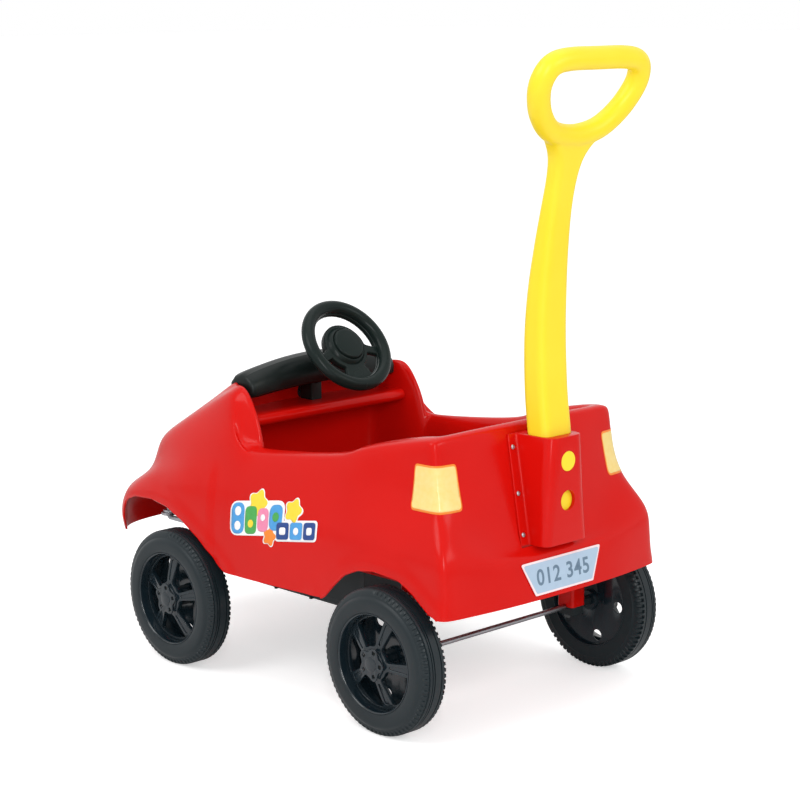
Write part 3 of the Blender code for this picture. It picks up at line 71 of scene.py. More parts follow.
# %% [markdown]
# ## Sizes shared with the CAD source
#
# This script doesn't read the CAD source, so the few numbers it needs are
# repeated. The steering column leans back 38 degrees from the floor, and a
# matrix holds that lean, so that the wheel can be built flat and then placed.

# %% Sizes and places
MID_Y = 0.0100                       # the axles' midpoint
FRONT_Y, REAR_Y, AXLE_Z = MID_Y - 0.2302, MID_Y + 0.2302, 0.105
WHEEL_IN_X = 0.2021                  # inner face of every wheel
ROD_BORE = 0.0043                    # radius of a hole for an 8 mm rod
WALL = 0.0032                        # the body's skin
INNER_HALF = 0.1310                  # inner wall's foot, half width at the back
TILT = math.radians(38.0)
COLUMN = (Matrix.Translation((0.0, MID_Y - 0.0870, 0.4860))
          @ Matrix.Rotation(TILT - math.pi / 2, 4, 'X'))
SIDES = (("left", 1), ("right", -1))
# shapes drawn as (y, z) are pushed along +X
ACROSS = Matrix(((0, 0, 1, 0), (1, 0, 0, 0), (0, 1, 0, 0), (0, 0, 0, 1)))


def mix(a, b, t):
    """A value between two others."""
    return a + (b - a) * t


def smoothstep(low, high, value):
    """0 before low, 1 after high, and a soft rise between them."""
    t = min(max((value - low) / (high - low), 0.0), 1.0)
    return t * t * (3 - 2 * t)


def facing(origin, up, out):
    """A place for flat artwork: its y runs up the surface and its z points out of it."""
    out, up = Vector(out).normalized(), Vector(up).normalized()
    return Matrix.Translation(origin) @ Matrix((up.cross(out), up, out)).transposed().to_4x4()


# the tail leans forward 1 in 4 behind the socket, and 1 in 6 behind the plate
SOCKET_SEAT = facing((0, MID_Y + 0.2975, 0.4060), (0, -0.2425, 0.9701), (0, 0.9701, 0.2425))
PLATE_SEAT = facing((0, MID_Y + 0.3554, 0.2385), (0, -0.1628, 0.9867), (0, 0.9867, 0.1628))
print("column leans", round(math.degrees(TILT)), "degrees, wheelbase", round(REAR_Y - FRONT_Y, 4))

# %% [markdown]
# ## Camera
#
# The photograph was taken from behind the car's left side, 3.2 m away and 1 m
# up, with a short telephoto lens. A long lens keeps the wheels round and the
# push handle straight, as a catalogue picture wants.

# %% Camera
CAMERA_AT, LENS_MM, SENSOR_MM, FAR_CLIP = (2.1952, 2.3286, 1.0214), 96.8, 36.0, 200.0
AZIMUTH, ELEVATION, ROLL = (math.radians(v) for v in (136.189, 10.801, -0.341))
back = Vector((math.sin(AZIMUTH) * math.cos(ELEVATION), -math.cos(AZIMUTH) * math.cos(ELEVATION),
               math.sin(ELEVATION)))
side = Vector((0, 0, 1)).cross(back).normalized()
up = back.cross(side)
right = side * math.cos(ROLL) + up * math.sin(ROLL)
top = up * math.cos(ROLL) - side * math.sin(ROLL)
lens = bpy.data.cameras.new("photo_camera")
lens.lens = LENS_MM
lens.sensor_width = SENSOR_MM
lens.clip_end = FAR_CLIP
camera = bpy.data.objects.new("photo_camera", lens)
camera.matrix_world = (Matrix.Translation(CAMERA_AT)
                       @ Matrix((right, top, back)).transposed().to_4x4())
bpy.context.scene.collection.objects.link(camera)
bpy.context.scene.camera = camera
print("camera", CAMERA_AT, "lens", LENS_MM, "mm")

# %% [markdown]
# ## Colours and nodes
#
# Colours are written as a paint chart gives them, in sRGB, and one function
# turns them to the linear light that the renderer adds up. A second small
# function adds any shader node with its settings and its inputs. A third opens
# a material, and a fourth turns the size of a pattern's marks into its scale.

# %% Colour and node helpers
def srgb(code):
    """A hex colour as linear RGBA."""
    values = [int(code[i:i + 2], 16) / 255 for i in (1, 3, 5)]
    return (*[v / 12.92 if v <= 0.04045 else ((v + 0.055) / 1.055) ** 2.4 for v in values], 1.0)


def node(tree, kind, inputs=None, **settings):
    """Adds a node, sets its properties, and fills or links its inputs."""
    made = tree.nodes.new(kind)
    for key, value in settings.items():
        setattr(made, key, value)
    for key, value in (inputs or {}).items():
        if isinstance(value, bpy.types.NodeSocket):
            tree.links.new(value, made.inputs[key])
        else:
            made.inputs[key].default_value = value
    return made


def begin_material(name):
    """A new material, its tree and shader, and the piece's own coordinates in metres."""
    material = bpy.data.materials.new(name)
    material.use_nodes = True
    tree = material.node_tree
    place = node(tree, "ShaderNodeTexCoord").outputs["Object"]
    return material, tree, tree.nodes["Principled BSDF"], place


def per_metre(millimetres):
    """The scale of a pattern whose marks are that far apart."""
    return 1000 / millimetres


print("a mid grey is", round(srgb("#808080")[0], 3), "in linear light")

# %% [markdown]
# ## Moulded plastics
#
# The body and the wheels are blow-moulded polyethylene, and the handle and the
# steering wheel are polypropylene. All are coloured right through, so the tone
# barely drifts over a hand's breadth. The skin copies the tool's wall: a waxy
# gloss with a faint ripple, like orange peel, a few millimetres across. A
# polished tool gives broad soft highlights; a spark-etched one gives a grain.

# %% Moulded plastic
DRIFT_MM, HAZE_MM, PEEL_MM = 90.0, 35.0, 3.0
GRAIN_MM = 1.1     # a real spark grain is 0.2 mm, and is drawn coarser here to show at all


def moulded(name, shade, tone, rough, specular, peel=0.00004, grain=0.0):
    """Plastic coloured right through, its skin copied from the tool's wall."""
    material, tree, shader, place = begin_material(name)
    drift = node(tree, "ShaderNodeTexNoise",
                 {"Vector": place, "Scale": per_metre(DRIFT_MM), "Detail": 2.0})
    tint = node(tree, "ShaderNodeMix", {0: drift.outputs["Fac"], 6: srgb(shade), 7: srgb(tone)},
                data_type='RGBA')
    haze = node(tree, "ShaderNodeTexNoise",
                {"Vector": place, "Scale": per_metre(HAZE_MM), "Detail": 2.0})
    gloss = node(tree, "ShaderNodeMapRange",
                 {"Value": haze.outputs["Fac"], "From Min": 0.3, "From Max": 0.7,
                  "To Min": rough - 0.03, "To Max": rough + 0.04})
    ripple = node(tree, "ShaderNodeTexNoise",
                  {"Vector": place, "Scale": per_metre(PEEL_MM), "Detail": 1.0})
    bump = node(tree, "ShaderNodeBump",
                {"Height": ripple.outputs["Fac"], "Strength": 1.0, "Distance": peel})
    if grain:
        pits = node(tree, "ShaderNodeTexVoronoi", {"Vector": place, "Scale": per_metre(GRAIN_MM)})
        bump = node(tree, "ShaderNodeBump",
                    {"Height": pits.outputs["Distance"], "Strength": 1.0, "Distance": grain,
                     "Normal": bump.outputs["Normal"]})
    tree.links.new(tint.outputs[2], shader.inputs["Base Color"])
    tree.links.new(gloss.outputs["Result"], shader.inputs["Roughness"])
    tree.links.new(bump.outputs["Normal"], shader.inputs["Normal"])
    shader.inputs["Specular IOR Level"].default_value = specular
    return material


print("marks in the skin:", PEEL_MM, "mm ripple and", GRAIN_MM, "mm grain")

# %% [markdown]
# One function makes all eight plastics. After the two tones come how rough the
# skin is, how much it mirrors, and how deep its ripple and its grain are.

# %% Plastics of this toy
# blown against a polished tool: an even red, with long soft highlights on its corners
RED = moulded("red_polyethylene", "#C70C06", "#D0110A", 0.20, specular=0.16, peel=0.00001)
# a satin tool: a bright even yellow, whose lights are wide and pale
YELLOW = moulded("yellow_polypropylene", "#F2D424", "#F7DF34", 0.34, specular=0.30, peel=0.00002)
# blown against a sandblasted tool: a bluish black that looks dry on the sidewalls
TYRE = moulded("black_blow_moulded_wheel", "#10191D", "#182429", 0.38, specular=0.32,
               grain=0.00002)
# the same black from a polished part of the tool: sharp glints inside the rim
RIM = moulded("black_glossy_rim", "#121C22", "#1A272E", 0.15, specular=0.50, peel=0.00001)
# injection moulded and polished: a greenish black with a clear, dim gloss
WHEEL_BLACK = moulded("black_polished_steering_wheel", "#141C1B", "#1B2624", 0.24, specular=0.12,
                      peel=0.00002)
# spark etched: the same black with a fine grain that breaks its lights
DASH_BLACK = moulded("black_etched_dashboard", "#0C1312", "#131B1A", 0.34, specular=0.20,
                     grain=0.00002)
# vacuum formed over a rough tool: matt, and a little greyer
TRAY_BLACK = moulded("black_matt_tray", "#161C1E", "#1F272A", 0.52, specular=0.35, grain=0.00004)
# painted shade: a darker, rougher black than the rim, set under the hub cap's holes to stand for
# the shadow inside the hub
PAINTED_SHADE_BLACK = moulded("black_painted_hub_shade", "#080C0B", "#0C1211", 0.60, specular=0.20)
print("moulded plastics:", len(bpy.data.materials))

# %% [markdown]
# ## Metal
#
# The axles are drawn steel rod: the die leaves fine lines along the bar. Nuts,
# washers and screws are zinc plated, which is paler, with dull crystal spots.
# A noise stretched along the bar makes the lines, and a wide one the spots.

# %% Metal
SPOT_MM = 14.0
LINE_MM = 0.7      # real die lines are a tenth of a millimetre apart, too fine to show


def bright_metal(name, tone, dull, rough, lines):
    """Steel with lines drawn along it and dull spots where the plating is thin."""
    material, tree, shader, place = begin_material(name)
    spots = node(tree, "ShaderNodeTexNoise",
                 {"Vector": place, "Scale": per_metre(SPOT_MM), "Detail": 4.0})
    tint = node(tree, "ShaderNodeMix", {0: spots.outputs["Fac"], 6: srgb(dull), 7: srgb(tone)},
                data_type='RGBA')
    along = node(tree, "ShaderNodeMapping", {"Vector": place, "Scale": lines})
    scratch = node(tree, "ShaderNodeTexNoise", {"Vector": along.outputs["Vector"],
                                                "Scale": per_metre(LINE_MM), "Detail": 2.0})
    gloss = node(tree, "ShaderNodeMapRange",
                 {"Value": scratch.outputs["Fac"], "From Min": 0.3, "From Max": 0.7,
                  "To Min": rough - 0.06, "To Max": rough + 0.10})
    bump = node(tree, "ShaderNodeBump",
                {"Height": scratch.outputs["Fac"], "Strength": 0.6, "Distance": 0.00003})
    tree.links.new(tint.outputs[2], shader.inputs["Base Color"])
    tree.links.new(gloss.outputs["Result"], shader.inputs["Roughness"])
    tree.links.new(bump.outputs["Normal"], shader.inputs["Normal"])
    shader.inputs["Metallic"].default_value = 1.0
    return material


# drawn through a die: a mirror that is smeared round the bar
ROD = bright_metal("steel_drawn_rod", "#B4B4B8", "#85858A", 0.28, (0.02, 1.0, 1.0))
# plated in a barrel: paler and cloudier, with no clear direction
ZINC = bright_metal("steel_zinc_plate", "#C4C5C9", "#96979C", 0.34, (1.0, 1.0, 0.4))
print("metals: 2")

# %% [markdown]
# ## Printed film
#
# The stickers and the plate's face are printed vinyl. The ink has a faint
# mottle, a few millimetres across, and the film over it has one soft gloss.

# %% Film
MOTTLE_MM = 8.0


def printed(name, shade, tone, rough=0.30):
    """Printed vinyl, with the faint mottle of its ink and the film's soft gloss."""
    material, tree, shader, place = begin_material(name)
    mottle = node(tree, "ShaderNodeTexNoise",
                  {"Vector": place, "Scale": per_metre(MOTTLE_MM), "Detail": 3.0})
    tint = node(tree, "ShaderNodeMix", {0: mottle.outputs["Fac"], 6: srgb(shade), 7: srgb(tone)},
                data_type='RGBA')
    bump = node(tree, "ShaderNodeBump",
                {"Height": mottle.outputs["Fac"], "Strength": 0.5, "Distance": 0.00004})
    tree.links.new(tint.outputs[2], shader.inputs["Base Color"])
    tree.links.new(bump.outputs["Normal"], shader.inputs["Normal"])
    shader.inputs["Roughness"].default_value = rough
    shader.inputs["Specular IOR Level"].default_value = 0.3
    return material


# flat, even colours; only the lamps' cream film is glossy
INK = {
    "white": printed("vinyl_white", "#F0F0F0", "#F8F8F8"),
    "cream": printed("vinyl_cream", "#ECCB70", "#EED894", 0.16),
    "orange": printed("vinyl_orange", "#F07E22", "#F89038"),
    "sky": printed("vinyl_sky_blue", "#3F8FD0", "#57A6E0"),
    "deep": printed("vinyl_deep_blue", "#22407E", "#2B4E92"),
    "leaf": printed("vinyl_leaf_green", "#3F9A48", "#55B05A"),
    "sun": printed("vinyl_sun_yellow", "#F2CF2E", "#FADC48"),
    "pink": printed("vinyl_pink", "#E27AA0", "#F095B4"),
    "plate": printed("vinyl_plate_blue", "#A6BDD2", "#B2C6DA"),
    "rim": printed("vinyl_plate_edge", "#F0D8DC", "#F8E6E8"),
    "digits": printed("vinyl_digits", "#5D7489", "#6F8699"),
}
print("films:", len(INK))

# %% [markdown]
# ## CAD nodes that keep their shape
#
# Axles, rods, nuts, washers, the tray and the seat look as their solids do, so
# they only get a finish. Each node's name says which.

# %% Finishes for the CAD nodes
FINISH = (
    (ZINC, ("screw", "nut", "washer", "collar")),
    (ROD, ("rear_axle", "stub_axle", "steering_column", "tie_rod", "front_axle_beam")),
    (TRAY_BLACK, ("floor_tray", "axle_cap", "spacer", "column_bush")),
    (RED, ("seat", "handle_socket", "body_shell")),
    (YELLOW, ("push_handle", "handle_plug")),
)
for name, cad in frame["nodes"].items():
    finish = next((f for f, words in FINISH if any(word in name for word in words)), DASH_BLACK)
    for slot in cad.material_slots:
        slot.material = finish
print("finished CAD nodes:", len(frame["nodes"]))

# %% [markdown]
# ## Ways to make a mesh
#
# Nearly every piece of a moulded toy is one of four shapes: something turned
# (a wheel), something drawn along rows (the body), something pushed straight
# (a leg), or a flat plate with holes (spokes). Each gets a short helper that
# lets one Blender operator do the work.

# %% Turned and drawn shapes
def turned(profile, steps, place=Matrix(), closed=False):
    """Spins (radius, height) points about +Z; a radius of 0 closes a pole."""
    bm = bmesh.new()
    verts = [bm.verts.new((radius, 0, height)) for radius, height in profile]
    edges = [bm.edges.new(pair) for pair in zip(verts, verts[1:] + (verts[:1] if closed else []))]
    bmesh.ops.spin(bm, geom=verts + edges, cent=(0, 0, 0), axis=(0, 0, 1), angle=2 * math.pi,
                   steps=steps, use_merge=True)
    bmesh.ops.remove_doubles(bm, verts=bm.verts, dist=0.000005)
    bmesh.ops.transform(bm, matrix=place, verts=bm.verts)
    return bm


def drawn(rows, loop=True, caps=True):
    """Extrudes a first row of points from row to row, and closes the ends."""
    bm = bmesh.new()
    verts = [bm.verts.new(p) for p in rows[0]]
    edges = [bm.edges.new(pair) for pair in zip(verts, verts[1:] + (verts[:1] if loop else []))]
    for row in rows[1:]:
        made = bmesh.ops.extrude_edge_only(bm, edges=edges)["geom"]
        new = {v for v in made if isinstance(v, bmesh.types.BMVert)}
        edges = [e for e in made if isinstance(e, bmesh.types.BMEdge) and new.issuperset(e.verts)]
        verts = [next(e.other_vert(v) for e in v.link_edges if e.other_vert(v) in new)
                 for v in verts]
        for v, at in zip(verts, row):
            v.co = at
    if caps:
        bmesh.ops.holes_fill(bm, edges=[e for e in bm.edges if e.is_boundary], sides=0)
    return bm


print("a turned cone has", len(turned(((0.01, 0), (0, 0.02)), 12).faces), "faces")

# %% [markdown]
# A straight push needs only a flat outline and two heights. A moulding is often
# several such shapes in one, so a third helper joins meshes.

# %% Pushed shapes and joins
def pushed(outline, low, high, place=Matrix()):
    """A closed outline pushed from one height to another."""
    bm = bmesh.new()
    face = bm.faces.new([bm.verts.new((a, b, low)) for a, b in outline])
    made = bmesh.ops.extrude_face_region(bm, geom=[face])["geom"]
    bmesh.ops.translate(bm, vec=(0, 0, high - low),
                        verts=[v for v in made if isinstance(v, bmesh.types.BMVert)])
    bmesh.ops.transform(bm, matrix=place, verts=bm.verts)
    return bm


def join(target, *sources):
    """Adds meshes to a first one and frees them."""
    for source in sources:
        mesh = bpy.data.meshes.new("join")
        source.to_mesh(mesh)
        source.free()
        target.from_mesh(mesh)
        bpy.data.meshes.remove(mesh)
    return target


print("a pushed square has", len(pushed(((0, 0), (1, 0), (1, 1), (0, 1)), 0, 1).faces), "faces")

# %% [markdown]
# ## Outlines
#
# A moulded toy has no sharp corner anywhere, because hot plastic doesn't fill
# one and a child shouldn't feel one. Flat shapes are drawn as a few corners
# first, and one function rounds each corner with its own radius.

# %% Outlines
def arc(radius, start, end, count, centre=(0.0, 0.0)):
    """Points on an arc, angles in degrees."""
    angles = [math.radians(mix(start, end, i / count)) for i in range(count + 1)]
    return [Vector((centre[0] + radius * math.cos(a), centre[1] + radius * math.sin(a)))
            for a in angles]


def rounded(points, radii, steps=6):
    """A closed outline with each corner replaced by a curve."""
    points = [Vector(p) for p in points]
    if isinstance(radii, (int, float)):
        radii = [radii] * len(points)
    outline = []
    earlier, later = points[-1:] + points[:-1], points[1:] + points[:1]
    for before, corner, after, radius in zip(earlier, points, later, radii):
        into, out = before - corner, after - corner
        half = max(into.angle(out) / 2, 0.02)
        if radius <= 0 or half > math.pi / 2 - 0.02:      # no radius, or hardly a corner
            outline.append(corner)
            continue
        reach = min(min(into.length, out.length) * 0.48, radius / math.tan(half))
        a, b = corner + into.normalized() * reach, corner + out.normalized() * reach
        for i in range(steps + 1):
            t = i / steps
            outline.append((a * (1 - t) + corner * t) * (1 - t) + (corner * (1 - t) + b * t) * t)
    return outline


def mirrored(outline):
    """Half an outline, completed across x = 0."""
    return list(outline) + [Vector((-p[0], p[1])) for p in reversed(outline)]


print("a rounded square has", len(rounded(((0, 0), (1, 0), (1, 1), (0, 1)), 0.1)), "points")

# %% [markdown]
# A flat curve with several outlines fills the first and leaves the others open,
# and its bevel rounds the rim of every hole at once. That is much less work
# than cutting holes in a solid, so spokes and webs are made this way.

# %% Plates with holes
def plate_with_holes(outlines, depth, soft, place=Matrix(), segments=2):
    """A flat sheet from z = 0 up to its depth, open at the inner outlines, with soft edges."""
    curve = bpy.data.curves.new("sheet", 'CURVE')
    curve.dimensions = '2D'
    curve.fill_mode = 'BOTH'
    curve.extrude = depth / 2 - soft
    curve.bevel_depth = soft
    curve.bevel_resolution = segments
    curve.offset = -soft
    for outline in outlines:
        spline = curve.splines.new('POLY')
        spline.points.add(len(outline) - 1)
        for point, at in zip(spline.points, outline):
            point.co = (at[0], at[1], 0.0, 1.0)
        spline.use_cyclic_u = True
    holder = bpy.data.objects.new("sheet", curve)
    mesh = bpy.data.meshes.new_from_object(holder)
    bpy.data.objects.remove(holder)
    bpy.data.curves.remove(curve)
    bm = bmesh.new()
    bm.from_mesh(mesh)
    bpy.data.meshes.remove(mesh)
    bmesh.ops.remove_doubles(bm, verts=bm.verts, dist=0.000002)
    bmesh.ops.transform(bm, matrix=place @ Matrix.Translation((0, 0, depth / 2)), verts=bm.verts)
    return bm


washer = plate_with_holes([arc(2, 0, 350, 35), arc(1, 0, 350, 35)], 0.5, 0.1)
print("a washer has", len(washer.faces), "faces")
washer.free()

# %% [markdown]
# ## From a mesh to a piece
#
# Every new piece is handed over in the same way: its faces point outwards, it
# is shaded smooth but for its sharp edges, it gets its finish, and it rides on
# the CAD body that carries it.

# %% Pieces
def add_piece(name, bm, finish, rides, stands_for=(), sharp=32.0):
    """Points the faces outwards, smooths them, and hands the piece to the frame."""
    bmesh.ops.recalc_face_normals(bm, faces=bm.faces)
    mesh = bpy.data.meshes.new(name)
    bm.to_mesh(mesh)
    bm.free()
    mesh.shade_smooth()
    mesh.set_sharp_from_angle(angle=math.radians(sharp))
    mesh.materials.append(finish)
    made = bpy.data.objects.new(name, mesh)
    bpy.context.scene.collection.objects.link(made)
    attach(made, rides)
    if stands_for:
        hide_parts(*stands_for)
    return made


# %% [markdown]
# Where a modifier shapes a piece, its result is kept as the mesh, so nothing is
# left to work out later. Joins and holes are booleans, run one after the other.

# %% Modifiers and cuts
def settle(made):
    """Swaps a piece's mesh for its evaluated one, so no modifier is left."""
    bpy.context.view_layer.update()
    result = made.evaluated_get(bpy.context.evaluated_depsgraph_get())
    mesh = bpy.data.meshes.new_from_object(result)
    old = made.data
    made.modifiers.clear()
    made.data = mesh
    bpy.data.meshes.remove(old)


def cut(made, steps, sharp=38.0):
    """Applies boolean steps of (operation, bmesh) to a piece."""
    helpers = []
    for operation, bm in steps:
        bmesh.ops.recalc_face_normals(bm, faces=bm.faces)
        mesh = bpy.data.meshes.new("cutter")
        bm.to_mesh(mesh)
        bm.free()
        helpers.append(bpy.data.objects.new("cutter", mesh))
        bpy.context.scene.collection.objects.link(helpers[-1])
        step = made.modifiers.new("cut", 'BOOLEAN')
        step.operation, step.solver, step.object = operation, 'EXACT', helpers[-1]
    finish = made.data.materials[0]
    settle(made)
    for helper in helpers:
        bpy.data.objects.remove(helper, do_unlink=True)
    made.data.shade_smooth()
    made.data.set_sharp_from_angle(angle=math.radians(sharp))
    made.data.materials.clear()
    made.data.materials.append(finish)


print("helpers ready")

# %% [markdown]
# ## Body moulding
#
# The real body is one hollow blow moulding: a tube of hot plastic is blown
# against the walls of a tool, so every corner is soft and the wall is even.
# A cage of eleven closed rings says where the skin runs, from the lower edge up
# the outside, over the hood or the rim, and down into the cockpit. Subdivision
# then does what the blown air did. The cage has the CAD source's numbers, but
# for the rear corners, which reach out 5 to 10 mm to where the photo has them.

# %% The cage
# each ring: front, back, back_mid, w_nose, w_wing, w_mid, w_rear,
#            z_nose, z_wing, z_pillar, z_sill, z_rear, z_back_mid
RINGS = (
    (-0.450, 0.3455, 0.3640, 0.195, 0.217, 0.2235, 0.2213,
     0.174, 0.180, 0.166, 0.1630, 0.1830, 0.184),
    (-0.456, 0.3420, 0.3560, 0.201, 0.221, 0.2225, 0.2192,
     0.206, 0.232, 0.232, 0.2300, 0.2360, 0.239),
    (-0.437, 0.3405, 0.3530, 0.195, 0.219, 0.2190, 0.2190,
     0.252, 0.283, 0.285, 0.2720, 0.2695, 0.2475),
    (-0.389, 0.3045, 0.3355, 0.174, 0.206, 0.2120, 0.1920,
     0.270, 0.312, 0.320, 0.3070, 0.3160, 0.256),
    (-0.386, 0.2938, 0.3108, 0.168, 0.195, 0.2060, 0.1857,
     0.324, 0.353, 0.353, 0.3320, 0.3660, 0.356),
    (-0.338, 0.2897, 0.2965, 0.163, 0.185, 0.1985, 0.1855,
     0.353, 0.374, 0.378, 0.3455, 0.4120, 0.414),
    (-0.268, 0.2865, 0.2930, 0.158, 0.1785, 0.1950, 0.1815,
     0.392, 0.404, 0.398, 0.3525, 0.4185, 0.4205),
    (-0.222, 0.2765, 0.2820, 0.153, 0.170, 0.1810, 0.1640,
     0.420, 0.424, 0.402, 0.3555, 0.4215, 0.4235),
    (-0.180, 0.2680, 0.2730, 0.150, 0.163, 0.1730, 0.1530,
     0.447, 0.440, 0.404, 0.3525, 0.4160, 0.418),
    (-0.197, 0.2590, 0.2620, 0.141, 0.154, 0.1630, INNER_HALF + 0.007,
     0.420, 0.410, 0.378, 0.3310, 0.3890, 0.391),
    (-0.205, 0.2410, 0.2450, 0.141, 0.150, 0.1550, INNER_HALF, *[0.200] * 6),
)
DOOR = {   # the door pillar's face, by ring and column
    (6, 5): (0.1835, -0.1470, 0.4330), (6, 6): (0.1880, -0.1340, 0.4040),
    (6, 7): (0.1920, -0.1310, 0.3720), (6, 8): (0.1945, -0.1130, 0.3480),
    (6, 9): (0.1950, -0.0720, 0.3500), (7, 5): (0.1750, -0.1385, 0.4400),
    (7, 6): (0.1795, -0.1260, 0.4080), (7, 7): (0.1815, -0.1210, 0.3780),
    (7, 8): (0.1815, -0.1040, 0.3555), (7, 9): (0.1810, -0.0700, 0.3550),
    (8, 5): (0.1640, -0.1290, 0.4440), (8, 6): (0.1690, -0.1010, 0.4110),
    (8, 7): (0.1725, -0.0885, 0.3800), (8, 8): (0.1732, -0.0852, 0.3530),
    (8, 9): (0.1732, -0.0640, 0.3520), (9, 5): (0.1540, -0.1350, 0.4150),
    (9, 6): (0.1590, -0.1050, 0.3850), (9, 7): (0.1630, -0.0900, 0.3500),
    (9, 8): (0.1635, -0.0870, 0.3300), (9, 9): (0.1635, -0.0640, 0.3300),
}
print("rings:", len(RINGS), "and", len(DOOR), "points of the pillar")

# %% [markdown]
# A ring is drawn on the left side only, from the middle of the nose to the
# middle of the back. Each of its twenty points is placed between the ring's own
# widths and heights, so thirteen numbers are enough to describe it.

# %% Points of a ring
# columns ahead of the sill crowd back as the hood climbs
BODY_FRONT, SILL_Y = -0.436, -0.060
SIDE_Y = (-0.255, -0.172, -0.122, -0.088, -0.055, 0.040, 0.118, 0.139)
SIDE_ACROSS = (0.02, 0.10, 0.27, 0.34, 0.72, 0.975)
SILL_RISE = (0.02, 0.16, 0.34, 0.53, 0.74, 0.975)


def ring_points(index):
    """Half of a ring, from the nose's middle round the left side to the back's middle."""
    (front, back_y, back_mid, w_nose, w_wing, w_mid, w_rear,
     z_nose, z_wing, z_pillar, z_sill, z_rear, z_mid) = RINGS[index]
    crowd = (front - SILL_Y) / (BODY_FRONT - SILL_Y)
    ys = [SILL_Y + (y - SILL_Y) * crowd if y < SILL_Y else y for y in SIDE_Y]
    points = [
        (0.0, front, z_nose), (0.45 * w_nose, front + 0.003, z_nose),
        (0.78 * w_nose, front + 0.011, z_nose), (w_nose, front + 0.034 * crowd, z_nose),
        (mix(w_nose, w_wing, 0.55), mix(front, ys[0], 0.5), mix(z_nose, z_wing, 0.6)),
        (w_wing, ys[0], z_wing), (mix(w_wing, w_mid, 0.7), ys[1], z_pillar),
        (w_mid, ys[2], mix(z_pillar, z_sill, 0.6)), (w_mid, ys[3], z_sill),
    ]
    for y, across, rise in zip(ys[4:] + [back_y - 0.090, back_y - 0.022],
                               SIDE_ACROSS, SILL_RISE):
        points.append((mix(w_mid, w_rear, across), y, mix(z_sill, z_rear, rise)))
    points += [
        (w_rear, back_y, z_rear),
        (0.88 * w_rear, mix(back_y, back_mid, 0.25), mix(z_rear, z_mid, 0.06)),
        (0.58 * w_rear, mix(back_y, back_mid, 0.80), mix(z_rear, z_mid, 0.88)),
        (0.27 * w_rear, back_mid, z_mid), (0.0, back_mid, z_mid),
    ]
    return [Vector(DOOR.get((index, i), p)) + Vector((0, MID_Y, 0)) for i, p in enumerate(points)]


print("the cage has", len(RINGS), "rings of", len(ring_points(0)), "points a side")

# %% [markdown]
# ## Wheel arches
#
# The arches are open shapes in the side plane, drawn about each axle. They are
# cut in the moulding after it is blown, and their edges flare a little. The
# distance from a point to an arch is what the flare and the cut both need.

# %% Wheel arches
ARCH_FRONT = (
    (-0.168, 0.020), (-0.170, 0.096), (-0.158, 0.1240), (-0.125, 0.1360), (-0.075, 0.1410),
    (-0.030, 0.1370), (0.012, 0.1230), (0.052, 0.1020), (0.080, 0.0830), (0.099, 0.0670),
    (0.114, 0.0590), (0.116, 0.020),
)
ARCH_REAR = (
    (-0.148, 0.020), (-0.146, 0.0585), (-0.126, 0.0660), (-0.108, 0.0850), (-0.084, 0.1070),
    (-0.056, 0.1190), (-0.024, 0.1235), (0.026, 0.1200), (0.054, 0.1060), (0.086, 0.0840),
    (0.102, 0.0790), (0.110, 0.020),
)
ARCHES = [rounded([(axle + a, AXLE_Z + b) for a, b in shape], 0.030, 5)
          for shape, axle in ((ARCH_FRONT, FRONT_Y), (ARCH_REAR, REAR_Y))]


def distance_to(point, outline):
    """Distance in the side plane from a point to an outline."""
    best = 1.0
    for a, b in zip(outline, outline[1:]):
        along = b - a
        t = min(max((point - a).dot(along) / max(along.length_squared, 1e-12), 0.0), 1.0)
        best = min(best, (point - a - along * t).length)
    return best


print("arches:", len(ARCHES), "of", len(ARCHES[0]), "points")

# %% [markdown]
# The cage is drawn ring by ring on one side and mirrored, and three levels of
# subdivision blow it up to a smooth skin. Half a body is enough to describe.

# %% The skin
bm = drawn([ring_points(i) for i in range(len(RINGS))], loop=False, caps=False)
bmesh.ops.mirror(bm, geom=bm.verts[:] + bm.edges[:] + bm.faces[:], axis='X',
                 merge_dist=0.0001)
bmesh.ops.recalc_face_normals(bm, faces=bm.faces)
if max(bm.faces, key=lambda f: f.calc_center_median().x).normal.x < 0:
    bmesh.ops.reverse_faces(bm, faces=bm.faces)
mesh = bpy.data.meshes.new("body_moulding")
bm.to_mesh(mesh)
bm.free()
mesh.materials.append(RED)
body = bpy.data.objects.new("body_moulding", mesh)
bpy.context.scene.collection.objects.link(body)
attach(body, "car")
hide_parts("body_shell")
smooth = body.modifiers.new("smooth", 'SUBSURF')
smooth.levels = smooth.render_levels = 3
settle(body)
print("body skin:", len(body.data.vertices), "points")

# %% [markdown]
# A sharp crease runs back along each front wing, and the arches' edges stand
# out. A tool gets these from its own carved walls; here each skin point is
# pushed outwards by an amount that fades with its distance from them.

# %% Flares and creases
FLARE, CREASE = 0.0022, 0.0030
for v in body.data.vertices:
    x, y, z = abs(v.co.x), v.co.y - MID_Y, v.co.z
    if x < 0.150 or z > 0.36:
        continue
    push = CREASE * smoothstep(-0.146, -0.156, y) * smoothstep(-0.30, -0.21, y)
    push *= smoothstep(0.335, 0.300, z)
    near = min(distance_to(Vector((v.co.y, z)), arch) for arch in ARCHES)
    push += FLARE * smoothstep(0.026, 0.010, near) * smoothstep(0.160, 0.185, x)
    v.co.x += math.copysign(push, v.co.x)
print("pushed out by up to", 1000 * (FLARE + CREASE), "mm")

# %% [markdown]
# ## Shelf, legs and holes
#
# The moulding also has a shelf under the dashboard, with a rolled lip, and two
# legs that stand on the rear axle. They are pushed straight and joined on. The
# arches, the rods' holes and the seats of the socket and the plate are cut out.

